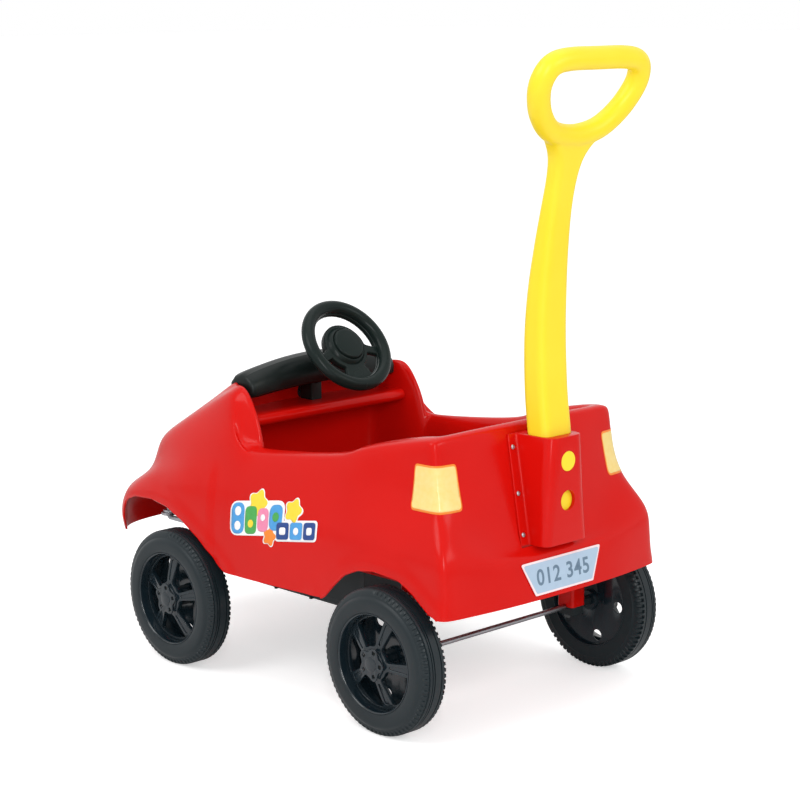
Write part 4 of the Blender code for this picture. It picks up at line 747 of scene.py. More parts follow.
# %% Shelf, legs and holes
SHELF_TOP, SHELF_FRONT, LIP_Y, LIP = 0.3925, MID_Y - 0.1990, MID_Y - 0.1300, 0.009
LEG_IN, LEG_OUT, LEG_HALF, LEG_TOP = 0.150, 0.180, 0.015, 0.270
WEB_IN, WEB_OUT, WEB_HALF = 0.1335, 0.154, 0.010      # ties a leg to the cockpit wall
OUTSIDE = (0.168, 0.30)                               # where an arch cuts, from the middle

steps = []
for _, sign in SIDES:
    for outline in ARCHES:
        reach = sorted(sign * x for x in OUTSIDE)
        steps.append(('DIFFERENCE', pushed(outline, *reach, ACROSS)))
shelf = arc(LIP, -90, 90, 10, (LIP_Y, SHELF_TOP - LIP))
shelf += [Vector((SHELF_FRONT, SHELF_TOP)), Vector((SHELF_FRONT, SHELF_TOP - WALL)),
          Vector((LIP_Y, SHELF_TOP - WALL))]
shelf += arc(LIP - WALL, 70, -70, 6, (LIP_Y, SHELF_TOP - LIP))
steps.append(('UNION', pushed(shelf, -0.1560, 0.1560, ACROSS)))
for _, sign in SIDES:
    low, high = REAR_Y - LEG_HALF, REAR_Y + LEG_HALF
    leg = rounded([(sign * x, y) for x, y in ((LEG_IN, low), (LEG_OUT, low), (LEG_OUT, high),
                                              (LEG_IN, high))], 0.005, 4)
    steps.append(('UNION', pushed(leg, AXLE_Z + 0.0003, LEG_TOP)))
    web = [(sign * x, REAR_Y + y) for x, y in ((WEB_IN, -WEB_HALF), (WEB_OUT, -WEB_HALF),
                                               (WEB_OUT, WEB_HALF), (WEB_IN, WEB_HALF))]
    steps.append(('UNION', pushed(web, 0.202, 0.264)))
axle_place = Matrix.Translation((0, REAR_Y, AXLE_Z)) @ Matrix.Rotation(math.pi / 2, 4, 'Y')
axle_hole = ((0, -0.2), (ROD_BORE, -0.2), (ROD_BORE, 0.2), (0, 0.2))
column_hole = ((0, -0.190), (0.0093, -0.190), (0.0093, -0.115), (0, -0.115))
socket_seat = ((-0.052, 0.006), (0.052, 0.006), (0.0645, -0.1555), (-0.0645, -0.1555))
plate_seat = ((-0.0836, 0.0006), (0.0836, 0.0006), (0.0606, -0.0491), (-0.0606, -0.0491))
steps += [('DIFFERENCE', turned(axle_hole, 24, axle_place)),
          ('DIFFERENCE', turned(column_hole, 32, COLUMN)),
          ('DIFFERENCE', pushed(socket_seat, 0.0, 0.030, SOCKET_SEAT)),
          ('DIFFERENCE', pushed(plate_seat, 0.0, 0.010, PLATE_SEAT))]
print("joins and cuts:", len(steps))

# %% [markdown]
# Now the skin gets its wall, 3.2 mm inwards, and the steps are run on it. A
# search tree of the finished body is kept, so that beads and stickers can ask
# where its surface is.

# %% The wall and the cuts
wall = body.modifiers.new("wall", 'SOLIDIFY')
wall.thickness = WALL
wall.offset = -1.0
wall.use_even_offset = True
cut(body, steps)
skin_mesh = bmesh.new()
skin_mesh.from_mesh(body.data)
SKIN = BVHTree.FromBMesh(skin_mesh)
skin_mesh.free()
print("body:", len(body.data.polygons), "faces")

# %% [markdown]
# A blown edge that is trimmed stays thick: a small roll runs along every arch.
# Rays are shot at the body from the side, just above the cut, and a thin round
# bead follows the points where they land.

# %% Rolled arch edges
def bead(path, radius, segments=10):
    """A round bar along a path, its frame carried from point to point."""
    rows, normal = [], None
    for i, at in enumerate(path):
        along = (path[min(i + 1, len(path) - 1)] - path[max(i - 1, 0)]).normalized()
        normal = normal or along.orthogonal().normalized()
        normal = (normal - along * normal.dot(along)).normalized()
        other = along.cross(normal)
        rows.append([at + (normal * p.x + other * p.y) * radius
                     for p in arc(1.0, 0, 360 - 360 / segments, segments - 1)])
    return drawn(rows)


ROLL, SUNK, ABOVE = 0.0019, 0.0014, 0.0008     # its radius, sunk in the skin, over the cut
LOWEST, INNERMOST, OUTSIDE_X = 0.166, 0.172, 0.35
edge_beads = []
for _, sign in SIDES:
    for outline in ARCHES:
        path = []
        for a, b in zip(outline, outline[1:]):
            for i in range(3):
                at = a + (b - a) * i / 3
                start = Vector((sign * OUTSIDE_X, at.x, at.y + ABOVE))
                hit = SKIN.ray_cast(start, Vector((-sign, 0, 0)))[0]
                if hit and abs(hit.x) > INNERMOST and at.y > LOWEST:
                    path.append(Vector((hit.x - sign * SUNK, at.x, at.y)))
        edge_beads.append(bead(path, ROLL))
add_piece("body_arch_edges", join(*edge_beads), RED, "car")
print("arch edges:", 2 * len(ARCHES), "beads")

# %% [markdown]
# ## Wheels
#
# Each wheel is one black blow moulding too: tyre, sidewall and rim in a single
# skin. It is turned from its half section in 304 steps, four to a tread block,
# and the steps that fall in a gap are pressed in by 3 mm. Only the shoulders
# carry blocks; two thin grooves run round the tread between them.

# %% Tyre section
BLOCKS = 76
BLOCK_DEPTH = 0.0030
BLOCK_STEPS = (0.0, 0.08, 0.50, 0.58)     # rise, top, fall and gap, as shares of a block's pitch
TYRE_ROWS = (   # radius, distance from the inner face, share of a block's height
    (0.0718, 0.0000, 0), (0.0890, 0.0000, 0), (0.0905, 0.0008, 0), (0.0958, 0.0016, 0.4),
    (0.1012, 0.0030, 0.8), (0.1039, 0.0050, 1), (0.1050, 0.0070, 1), (0.1050, 0.0092, 1),
    (0.1050, 0.0095, 0), (0.1050, 0.0132, 0), (0.1033, 0.0137, 0), (0.1033, 0.0147, 0),
    (0.1050, 0.0152, 0), (0.1050, 0.0262, 0), (0.1033, 0.0267, 0), (0.1033, 0.0277, 0),
    (0.1050, 0.0282, 0), (0.1050, 0.0302, 0), (0.1036, 0.0307, 0), (0.1036, 0.0315, 0),
    (0.1050, 0.0320, 0), (0.1049, 0.0340, 0), (0.1046, 0.0352, 0), (0.1030, 0.0358, 0),
    (0.1030, 0.0366, 0), (0.1038, 0.0376, 0.1), (0.1030, 0.0390, 0.8), (0.1014, 0.0402, 0.9),
    (0.0994, 0.0412, 0.6), (0.0972, 0.0420, 0.2), (0.0955, 0.0426, 0), (0.0946, 0.0427, 0),
    (0.0938, 0.0432, 0), (0.0920, 0.0449, 0), (0.0895, 0.0461, 0), (0.0865, 0.0466, 0),
    (0.0780, 0.0465, 0), (0.0735, 0.0463, 0), (0.0722, 0.0458, 0), (0.0714, 0.0448, 0),
    (0.0714, 0.0004, 0),
)

print("tyre section:", len(TYRE_ROWS), "points")

# %% [markdown]
# A wheel is turned flat, with +Z out along its axle, and one matrix then stands
# it in its place on either side of the car.

# %% Tyres
def wheel_place(end, sign):
    """From the wheel's own frame, +Z out along the axle, to the car."""
    turn = Matrix(((0, 0, sign), (0, 1, 0), (1, 0, 0))).to_4x4()
    axle_y = FRONT_Y if end == "front" else REAR_Y
    return Matrix.Translation((sign * WHEEL_IN_X, axle_y, AXLE_Z)) @ turn


def tyre(place):
    """The turned skin with the gaps between its blocks pressed in."""
    bm = turned([row[:2] for row in TYRE_ROWS], BLOCKS * 4, closed=True)
    depth = {(round(r, 6), round(s, 6)): share for r, s, share in TYRE_ROWS}
    for v in bm.verts:
        radius = math.hypot(v.co.x, v.co.y)
        step = round(math.atan2(v.co.y, v.co.x) / (2 * math.pi) * BLOCKS * 4)
        share = depth.get((round(radius, 6), round(v.co.z, 6)), 0)
        angle = 2 * math.pi * (step // 4 + BLOCK_STEPS[step % 4]) / BLOCKS
        radius -= BLOCK_DEPTH * share * (step % 4 in (0, 3))
        v.co.x, v.co.y = radius * math.cos(angle), radius * math.sin(angle)
    bmesh.ops.transform(bm, matrix=place, verts=bm.verts)
    return bm


WHEELS = [(end, name, sign) for end in ("front", "rear") for name, sign in SIDES]
for end, name, sign in WHEELS:
    add_piece(f"tyre_{end}_{name}", tyre(wheel_place(end, sign)), TYRE, f"wheel_{end}_{name}",
              (f"wheel_{end}_{name}",), 28)
print("tyres: 4, with", BLOCKS, "blocks on each shoulder")

# %% [markdown]
# The rim has five spokes that rise like a shallow cone from the barrel to the
# hub, 12 mm in all. A flat plate with five openings is made first, and then
# every point is lifted by its distance from the rim. Each spoke has a sunk
# middle between two raised edges, so a second, thinner plate lies on the first
# with five more holes in it. Behind the spokes a second wall closes the hollow
# wheel but for five small windows, so the openings look dark. The wheels
# stopped at different angles in the photo, so each one has its own turn.

# %% Spokes
# the wheel's own angles run the other way from the car's, and start a quarter turn away
SPOKE_TURN = {"front_left": -87.0, "rear_left": -71.0, "front_right": -110.0, "rear_right": -98.0}
RIM_EDGE, CONE_TOP, DISC_OUT, DISC_DEEP, CONE_RISE = 0.0680, 0.0220, 0.0315, 0.0080, 0.0123
NEAR_R, FAR_R = 0.0250, 0.0640                     # the openings' inner and outer ends
SPOKE_NEAR_HALF, SPOKE_FAR_HALF = 0.0056, 0.0098   # a spoke is narrow at the hub and flares out
WINDOW_R, WINDOW_AT, WINDOW_TURN = 0.0085, 0.0555, 118.0


def spoke_outlines(turn):
    """The rim circle with five rounded openings, and the sunk middles of the spokes."""
    openings, middles = [arc(RIM_EDGE, 0, 357, 119)], []
    near = 36 - math.degrees(math.asin(SPOKE_NEAR_HALF / NEAR_R))
    far = 36 - math.degrees(math.asin(SPOKE_FAR_HALF / FAR_R))
    groove = [(0.0020, 0.0290), (-0.0020, 0.0290), (-0.0046, 0.0600), (0.0046, 0.0600)]
    for i in range(5):
        middle = 90.0 + turn + 72.0 * (i + 0.5)
        shape = arc(FAR_R, middle - far, middle + far, 8)
        shape += arc(NEAR_R, middle + near, middle - near, 2)
        openings.append(rounded(shape, [0.012] + [0] * 7 + [0.012, 0.008, 0, 0.008], 5))
        turned_by = Matrix.Rotation(math.radians(turn + 72.0 * i), 2)
        middle_line = [turned_by @ Vector(p) for p in groove]
        middles.append(rounded(middle_line, (0.002, 0.002, 0.004, 0.004), 5))
    return openings, middles


print("spokes:", len(SPOKE_TURN), "wheels of 5")

# %% [markdown]
# The rim's parts share one axle: the spoked disc, a hub that stands through it,
# the smooth barrel round it, and the back wall with its windows.

# %% Rims
HUB = ((ROD_BORE, 0.0), (0.0146, 0.0), (0.0150, 0.0008), (0.0150, 0.0330), (0.0190, 0.0370),
       (0.0212, 0.0420), (0.0210, 0.0446), (0.0202, 0.0462), (0.0190, 0.0468), (0.0115, 0.0468),
       (0.0115, 0.0383), (ROD_BORE, 0.0383))
BARREL = ((0.0712, 0.0002), (0.0700, 0.0), (0.0676, 0.0220), (0.0678, 0.0315), (0.0684, 0.0438),
          (0.0690, 0.0452), (0.0700, 0.0461), (0.0712, 0.0456))


def rim(place, turn):
    """The spoked disc, the hub, the barrel and the back wall, in the wheel's frame."""
    openings, middles = spoke_outlines(turn)
    bm = plate_with_holes(openings, 0.0066, 0.0010)
    raised = Matrix.Translation((0, 0, 0.0060))
    join(bm, plate_with_holes(openings + middles, 0.0020, 0.0007, raised))
    long = [e for e in bm.edges if e.calc_length() > 0.006]
    bmesh.ops.subdivide_edges(bm, edges=long, cuts=3)
    for v in bm.verts:
        inwards = (RIM_EDGE - math.hypot(v.co.x, v.co.y)) / (RIM_EDGE - CONE_TOP)
        v.co.z += DISC_OUT - DISC_DEEP + CONE_RISE * min(inwards, 1.0)
    windows = [arc(0.0690, 0, 357, 119), arc(0.0145, 0, 354, 59)]
    for i in range(5):
        angle = math.radians(turn + 72.0 * i + WINDOW_TURN)
        centre = (WINDOW_AT * math.cos(angle), WINDOW_AT * math.sin(angle))
        windows.append(arc(WINDOW_R, 0, 345, 23, centre))
    back_wall = plate_with_holes(windows, 0.0024, 0.0006, Matrix.Translation((0, 0, 0.0050)))
    join(bm, turned(HUB, 64, closed=True), turned(BARREL, 120, closed=True), back_wall)
    bmesh.ops.transform(bm, matrix=place, verts=bm.verts)
    return bm


for end, name, sign in WHEELS:
    made = rim(wheel_place(end, sign), SPOKE_TURN[f"{end}_{name}"])
    add_piece(f"rim_{end}_{name}", made, RIM, f"wheel_{end}_{name}")
print("rims: 4, with 5 windows each")

# %% [markdown]
# The hub cap is a small star with five lobes, pressed over the end of the axle.
# Each lobe has a square hole. Through it shows a thin disc of a darker black
# just under the cap: painted shade, standing for the dark inside of the hub.

# %% Hub caps
STAR_R, LOBE = 0.0214, 0.0032
HOLE = ((0.0025, 0.0150), (0.0030, 0.0202), (-0.0030, 0.0202), (-0.0025, 0.0150))
DOME = ((0.0108, 0.0490), (0.0104, 0.0499), (0.0092, 0.0504), (0.0, 0.0506))
# a thin disc under the cap's holes, coloured with the painted shade black
HUB_FLOOR = ((0.0, 0.0478), (0.0188, 0.0478), (0.0188, 0.0472), (0.0, 0.0472))


def cap_outlines(turn):
    """A five-lobed outline and a small square hole in each lobe."""
    star = []
    for i in range(120):
        angle = math.radians(90 + turn + 3.0 * i)
        radius = STAR_R + LOBE * math.cos(5 * math.radians(3.0 * i))
        star.append(Vector((radius * math.cos(angle), radius * math.sin(angle))))
    holes = []
    for i in range(5):
        turned_by = Matrix.Rotation(math.radians(turn + 72.0 * i), 2)
        holes.append(rounded([turned_by @ Vector(p) for p in HOLE], 0.001, 3))
    return [star] + holes


for end, name, sign in WHEELS:
    place, wheel = wheel_place(end, sign), f"wheel_{end}_{name}"
    cap = plate_with_holes(cap_outlines(SPOKE_TURN[f"{end}_{name}"]), 0.0022, 0.0007,
                           place @ Matrix.Translation((0, 0, 0.0471)))
    join(cap, turned(DOME, 40, place))
    add_piece(f"cap_{end}_{name}", cap, RIM, wheel, (f"hub_cap_{end}_{name}",))
    # painted shade: the darker disc under the cap's holes stands for the hub's dark inside
    add_piece(f"cap_painted_shade_{end}_{name}", turned(HUB_FLOOR, 40, place), PAINTED_SHADE_BLACK, wheel)
print("hub caps: 4")

# %% [markdown]
# ## Steering wheel
#
# The ring is a fat round tube, easy for small hands. A flat web joins it to the
# hub, open above and at both lower sides, and the hub is a thick soft-edged
# disc with the horn button sunk in its middle. All of it is turned or filled
# flat on the column's own axis and then leaned back with the column.

# %% Steering wheel
RING_R, TUBE_R = 0.0688, 0.0104
ring = turned([(RING_R + p.x, p.y) for p in arc(TUBE_R, 0, 348, 29)], 96, COLUMN, closed=True)
web = [arc(RING_R - 0.002, 0, 356.25, 95)]
above = arc(0.0572, 171, 369, 24) + arc(0.0385, 362, 178, 20)
web.append(rounded(above, [0.005] + [0] * 23 + [0.005, 0.004] + [0] * 19 + [0.004], 4))
for low, high in ((22, 64), (116, 158)):
    gap = arc(0.0578, low, high, 8) + arc(0.0395, high - 2, low + 2, 6)
    web.append(rounded(gap, [0.007] + [0] * 7 + [0.007, 0.004] + [0] * 5 + [0.004], 5))
WHEEL_HUB = (
    (ROD_BORE, -0.0285), (0.0115, -0.0285), (0.0120, -0.0280), (0.0120, -0.0165),
    (0.0340, -0.0165), (0.0362, -0.0157), (0.0371, -0.0138), (0.0368, -0.0095),
    (0.0352, -0.0045), (0.0325, -0.0002), (0.0298, 0.0028), (0.0280, 0.0041),
    (0.0272, 0.0044), (0.0267, 0.0041), (0.0265, 0.0030), (0.0265, -0.0055),
    (ROD_BORE, -0.0055),
)
join(ring, plate_with_holes(web, 0.0095, 0.0028, COLUMN @ Matrix.Translation((0, 0, -0.0110)), 4),
     turned(WHEEL_HUB, 72, COLUMN, closed=True))
add_piece("steering_wheel_moulding", ring, WHEEL_BLACK, "steering", ("steering_wheel",), 40)
print("steering wheel:", round(2000 * (RING_R + TUBE_R)), "mm across")

# %% [markdown]
# The horn button is a cushion-edged disc in the hub, with 0.7 mm of air round
# it, so that it can be pressed. Its edge is rounded and its top nearly flat.

# %% Horn button
BUTTON = ((0.0, -0.0025), (0.0250, -0.0025), (0.0258, -0.0018), (0.0258, 0.0062),
          (0.0253, 0.0077), (0.0240, 0.0086), (0.0218, 0.0090), (0.0, 0.0093))
button = turned(BUTTON, 64, COLUMN)
add_piece("horn_button_moulding", button, WHEEL_BLACK, "horn", ("horn_button",), 40)
print("horn button:", round(2000 * BUTTON[3][0]), "mm across")

# %% [markdown]
# ## Dashboard
#
# A padded-looking bar behind the steering wheel. Its section is the same all
# the way along, but it droops a little and closes down softly at both ends, so
# it is drawn through a row of sections that shrink there.

# %% Dashboard
PAD_HALF, PAD_FOOT, PAD_TALL = 0.150, 0.4240, 0.0460
PAD_SECTION = (   # y, and height as a share of the pad's
    (-0.1390, 0.0), (-0.1345, 0.11), (-0.1335, 0.46), (-0.1390, 0.74), (-0.1510, 0.957),
    (-0.1650, 1.0), (-0.1800, 0.87), (-0.1900, 0.565), (-0.1900, 0.196), (-0.1840, 0.0),
)
PAD_CENTRE = Vector((-0.1630, 0.457))


def dash_section(share, shrink):
    """A cross-section of the pad at a share of its half length."""
    loop = rounded([PAD_CENTRE + (Vector(p) - PAD_CENTRE) * shrink for p in PAD_SECTION], 0.006, 3)
    return [Vector((share * PAD_HALF, p.x + MID_Y,
                    PAD_FOOT + PAD_TALL * p.y - mix(0.009, 0.019, p.y) * share * share))
            for p in loop]


stations = [(-1.0, 0.62), (-0.997, 0.75), (-0.990, 0.85), (-0.975, 0.925), (-0.95, 0.965)]
stations += [(-0.9 + 0.1 * i, 1.0) for i in range(19)] + [(-a, b) for a, b in reversed(stations)]
pad = drawn([dash_section(a, b) for a, b in stations])
block = rounded([(x, MID_Y + y) for x, y in ((-0.0105, -0.1850), (0.0105, -0.1850),
                                             (0.0105, -0.1570), (-0.0105, -0.1570))], 0.002, 3)
boss = ((ROD_BORE, -0.0560), (0.0092, -0.0560), (0.0100, -0.0568), (0.0105, -0.100),
        (ROD_BORE, -0.100))
join(pad, pushed(block, 0.3928, 0.450), turned(boss, 40, COLUMN, closed=True))
add_piece("dashboard_pad", pad, DASH_BLACK, "car", ("dashboard",), 40)
print("dashboard:", len(stations), "sections")

# %% [markdown]
# ## Push handle
#
# A hollow yellow moulding that a parent pushes by its loop. The shaft is wide
# and flat in the socket, narrows in the middle and flows into the grip without
# a seam. A smooth curve through a few measured sections gives the shaft.

# %% Shaft of the handle
SHAFT = (   # height, middle y, width, depth
    (0.300, 0.3455, 0.0570, 0.0365), (0.345, 0.3405, 0.0575, 0.0385),
    (0.404, 0.3332, 0.0585, 0.0415), (0.470, 0.3258, 0.0580, 0.0410),
    (0.545, 0.3232, 0.0565, 0.0400), (0.610, 0.3262, 0.0535, 0.0375),
    (0.670, 0.3330, 0.0485, 0.0335), (0.725, 0.3420, 0.0440, 0.0290),
    (0.770, 0.3522, 0.0455, 0.0270), (0.800, 0.3605, 0.0600, 0.0270),
    (0.826, 0.3700, 0.1000, 0.0270),
)
LOOP_HALF = (   # half width, rise over the shaft's end
    (0.0, 0.0), (0.046, 0.008), (0.078, 0.032), (0.0955, 0.062), (0.0960, 0.084), (0.0840, 0.099),
    (0.0560, 0.1045), (0.0, 0.1050),
)


def spline_points(points, steps, closed=False):
    """A Catmull-Rom curve through points of any number of values."""
    points = [Vector(p) for p in points]
    count, path = len(points), []
    for i in range(count if closed else count - 1):
        p0, p1, p2, p3 = (points[(i + k) % count if closed else min(max(i + k, 0), count - 1)]
                          for k in (-1, 0, 1, 2))
        for k in range(steps):
            t = k / steps
            path.append(0.5 * ((2 * p1) + (p2 - p0) * t + (2 * p0 - 5 * p1 + 4 * p2 - p3) * t * t
                               + (3 * p1 - p0 - 3 * p2 + p3) * t ** 3))
    return path if closed else path + [points[-1]]


def shaft(grow=0.0, rows=None):
    """The shaft from its foot in the socket to the grip."""
    sections = []
    for z, y, width, depth in spline_points(SHAFT, 4)[:rows]:
        a, b = width / 2 + grow, depth / 2 + grow
        loop = rounded(((a, b), (-a, b), (-a, -b), (a, -b)), min(0.013, depth * 0.38), 6)
        sections.append([Vector((p.x, MID_Y + y + p.y, z)) for p in loop])
    return drawn(sections)


print("shaft:", len(SHAFT), "sections")

# %% [markdown]
# The grip is a round bar along a closed curve. The shaft and the loop are
# joined, then a voxel remesh turns the pair into one skin, and smoothing lets
# them melt together as the moulding does.

# %% Push handle
TOP_Z, TOP_Y, LEAN, GRIP_R = 0.826, 0.3700, 0.42, 0.0160     # the loop leans back as it rises
half_loop = [(x, MID_Y + TOP_Y + LEAN * rise, TOP_Z + rise) for x, rise in LOOP_HALF]
half_loop += [(-x, y, z) for x, y, z in half_loop[-2:0:-1]]
path = spline_points(half_loop, 6, closed=True)
grip = bead(path + path[:1], GRIP_R, 24)
both = join(shaft(), grip)
handle = add_piece("push_handle_moulding", both, YELLOW, "car", ("push_handle",), 60)
skin = handle.modifiers.new("one_skin", 'REMESH')
skin.mode = 'VOXEL'
skin.voxel_size = 0.0018
skin.use_smooth_shade = True
melt = handle.modifiers.new("melt", 'SMOOTH')
melt.factor, melt.iterations = 0.5, 10
settle(handle)
print("push handle:", len(handle.data.polygons), "faces")

# %% [markdown]
# ## Handle socket
#
# A red box screwed to the back of the body holds the shaft. A yellow locking
# plug clicks into the upper of its two holes, and the shaft shows through the
# lower one. The box widens downwards, so it is drawn between two sections, its
# top and bottom edges are bevelled, and the holes are cut last.

# %% Handle socket and plug
BOX_BACK, FLANGE = MID_Y + 0.3685, 0.0031
PLUG_Z, WINDOW_Z, PLUG_HOLE = 0.375, 0.319, 0.0145


def socket_section(z, half, flange):
    """A box section with a rounded back, on a thin flange that lies on the body's slope."""
    seat = MID_Y + 0.2975 + (0.4060 - z) * 0.25 + 0.0003
    side_points = [(flange, seat), (flange, seat + FLANGE), (half + 0.0005, seat + FLANGE),
                   (half, BOX_BACK)]
    loop = rounded(mirrored(side_points), [0, 0.0012, 0.0040, 0.0190, 0.0190, 0.0040, 0.0012, 0], 8)
    return [Vector((p.x, p.y, z)) for p in loop]


box = drawn([socket_section(0.2575, 0.0450, 0.0622), socket_section(0.3340, 0.0393, 0.0561),
             socket_section(0.4100, 0.0335, 0.0500)])
ends = [e for f in box.faces if abs(f.normal.z) > 0.9 or len(f.verts) > 8 for e in f.edges]
bmesh.ops.bevel(box, geom=list(set(ends)), affect='EDGES', offset=0.0011, segments=3, profile=0.5,
                material=-1, clamp_overlap=True)
socket = add_piece("handle_socket_box", box, RED, "car", ("handle_socket",), 38)
hole = ((0, -0.012), (PLUG_HOLE, -0.012), (PLUG_HOLE, 0.012), (0, 0.012))
on_back = [facing((0, BOX_BACK, z), (0, 0, 1), (0, 1, 0)) for z in (PLUG_Z, WINDOW_Z)]
cut(socket, [('DIFFERENCE', shaft(0.0006, 12)), ('DIFFERENCE', turned(hole, 48, on_back[0])),
             ('DIFFERENCE', turned(hole, 48, on_back[1]))])
plug_rows = ((0.0, -0.0230), (0.0142, -0.0230), (0.0142, -0.0002), (0.0136, 0.0004), (0.0, 0.0006))
plug = turned(plug_rows, 48, on_back[0])
add_piece("handle_plug_moulding", plug, YELLOW, "car", ("handle_plug",), 40)
print("socket:", len(socket.data.polygons), "faces")

# %% [markdown]
# Pan-head screws, pressed from wire, hold the socket, the tray and the front
# beam. One head is turned and set on every screw of the CAD model.

# %% Screw heads
HEAD = (
    (0.0036, 0.0), (0.0036, 0.0007), (0.0031, 0.0014), (0.0020, 0.0018), (0.0009, 0.0018),
    (0.0006, 0.0012), (0.0, 0.0011),
)
DIRECTIONS = {"socket": (0, 0.9701, 0.2425), "tray": (0, 0, -1), "beam": (0, 0, 1)}
heads, screws = [], [name for name in frame["nodes"] if "screw" in name]
for name in screws:
    low, high = (Vector(corner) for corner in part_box(name))
    out = Vector(DIRECTIONS[name.split("_")[0]])
    foot = (low + high) / 2 - out * 0.0009
    heads.append(turned(HEAD, 24, facing(foot, out.orthogonal(), out)))
add_piece("screw_heads", join(*heads), ZINC, "car", screws, 40)
print("screw heads:", len(screws))

# %% [markdown]
# ## Number plate
#
# A pressed plastic plate with a pale printed face: a rosy white margin, a pale
# blue field and plain numbers. Text is a flat curve, so it is made a mesh
# before it is set in its place.

# %% Numbers
def numbers(text, size, place):
    """Flat text as a thin solid, centred on its place."""
    curve = bpy.data.curves.new("numbers", 'FONT')
    curve.body = text
    curve.size = size
    curve.align_x, curve.align_y = 'CENTER', 'CENTER'
    curve.extrude = 0.00008
    curve.offset = 0.0006
    curve.space_character = 1.08
    holder = bpy.data.objects.new("numbers", curve)
    mesh = bpy.data.meshes.new_from_object(holder)
    bpy.data.objects.remove(holder)
    bpy.data.curves.remove(curve)
    bm = bmesh.new()
    bm.from_mesh(mesh)
    bpy.data.meshes.remove(mesh)
    bmesh.ops.remove_doubles(bm, verts=bm.verts, dist=0.000002)
    bmesh.ops.transform(bm, matrix=place, verts=bm.verts)
    return bm


print("a nought has", len(numbers("0", 1.0, Matrix()).faces), "faces")

# %% [markdown]
# The plate is wider above than below. Each layer lies a hair over the one under
# it, as print lies on plastic.

# %% Number plate
def plate_outline(inset):
    """The plate's shape, wide at the top, drawn in from its edge."""
    corners = ((-0.083 + 1.3 * inset, -inset), (0.083 - 1.3 * inset, -inset),
               (0.060 - 0.8 * inset, -0.0485 + inset), (-0.060 + 0.8 * inset, -0.0485 + inset))
    return rounded(corners, 0.0030, 4)


AIR, PLATE_THICK, FILM_LOW, FILM_TOP = 0.0003, 0.0012, 0.0014, 0.0017     # over the body
DIGITS, DIGIT_SIZE = "012 345", 0.0315
base_place = PLATE_SEAT @ Matrix.Translation((0, 0, AIR))
plate = plate_with_holes([plate_outline(0.0)], PLATE_THICK, 0.0004, base_place)
add_piece("number_plate_base", plate, INK["rim"], "car", ("number_plate",), 40)
field = pushed(plate_outline(0.0030), FILM_LOW, FILM_TOP, PLATE_SEAT)
add_piece("number_plate_field", field, INK["plate"], "car")
digits_place = PLATE_SEAT @ Matrix.Translation((0, -0.0250, FILM_TOP))
figures = numbers(DIGITS, DIGIT_SIZE, digits_place)
add_piece("number_plate_digits", figures, INK["digits"], "car")
print("number plate: 3 layers")

# %% [markdown]
# ## Stickers
#
# Printed film follows the body exactly. A flat shape is cut into 5 mm squares
# by planes, each of its points is shot at the body, and the film is left a
# hair above the place where it lands. Upper colours lie a little higher.

# %% Film on the body
CELL, FILM_THICK = 0.005, 0.00012


def laid(name, outline, aim, lift, ink):
    """A flat outline laid on the body; aim turns its points into rays."""
    bm = bmesh.new()
    bmesh.ops.triangulate(bm, faces=[bm.faces.new([bm.verts.new((a, b, 0)) for a, b in outline])])
    for axis in (0, 1):
        values = [p[axis] for p in outline]
        for k in range(math.floor(min(values) / CELL), math.ceil(max(values) / CELL) + 1):
            plane = Vector((1.0 - axis, axis, 0))
            bmesh.ops.bisect_plane(bm, geom=bm.verts[:] + bm.edges[:] + bm.faces[:],
                                   plane_co=plane * k * CELL, plane_no=plane, dist=0.00001)
    for v in bm.verts:
        start, direction = aim(v.co.x, v.co.y)
        hit, normal, _, _ = SKIN.ray_cast(start, direction)
        v.co = hit + normal * lift
    bmesh.ops.recalc_face_normals(bm, faces=bm.faces)
    first = next(iter(bm.faces))
    if first.normal.dot(aim(*outline[0])[1]) > 0:
        bmesh.ops.reverse_faces(bm, faces=bm.faces)
    mesh = bpy.data.meshes.new(name)
    bm.to_mesh(mesh)
    bm.free()
    mesh.shade_smooth()
    mesh.materials.append(INK[ink])
    made = bpy.data.objects.new(name, mesh)
    bpy.context.scene.collection.objects.link(made)
    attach(made, "car")
    film = made.modifiers.new("film", 'SOLIDIFY')
    film.thickness, film.offset = FILM_THICK, -1.0
    settle(made)


print("film:", round(1000 * FILM_THICK, 2), "mm thick, in cells of", 1000 * CELL, "mm")

# %% [markdown]
# The tail lights are only stickers on this toy: a cream lamp with an orange
# border that wraps each rear corner. The film is glossy, so the bright line of
# the studio's lamp runs down the corner over it.

# %% Tail lights
def round_corner(sign):
    """Distances round a rear corner as rays from a post inside it."""
    def aim(around, height):
        angle = math.radians(47.0 + around * 560.0)
        direction = Vector((sign * math.cos(angle), math.sin(angle), 0))
        post = Vector((sign * 0.130, MID_Y + 0.235, height))
        return post + direction * 0.2, -direction
    return aim


BORDER = ((-0.056, 0.320), (0.049, 0.320), (0.044, 0.384), (-0.050, 0.384))
LAMP = ((-0.0532, 0.3228), (0.0462, 0.3228), (0.0415, 0.3812), (-0.0475, 0.3812))
for name, sign in SIDES:
    aim = round_corner(sign)
    laid(f"tail_light_border_{name}", rounded(BORDER, 0.009), aim, 0.00030, "orange")
    laid(f"tail_light_lamp_{name}", rounded(LAMP, 0.007), aim, 0.00045, "cream")
print("tail lights: 2")

# %% [markdown]
# The side stickers are a playful patch with a white edge. This design is my
# own: toy blocks with dots, three flowers and a row of blue tiles, in cheerful
# colours and at the size of the real one.

# %% Sticker shapes
def from_side(sign, tilt=0.165):
    """Places on the side plane as rays that look straight in at the body."""
    def aim(along, height):
        y = MID_Y - 0.0080 + along
        z = 0.2655 + height + tilt * along
        return Vector((sign * OUTSIDE_X, y, z)), Vector((-sign, 0, 0))
    return aim


def flower(x, y, size):
    """A round shape with five soft lobes."""
    outline = []
    for a in (math.radians(9 * i) for i in range(40)):
        radius = size * (1 + 0.16 * math.cos(5 * a))
        outline.append(Vector((x + radius * math.cos(a), y + radius * math.sin(a))))
    return outline


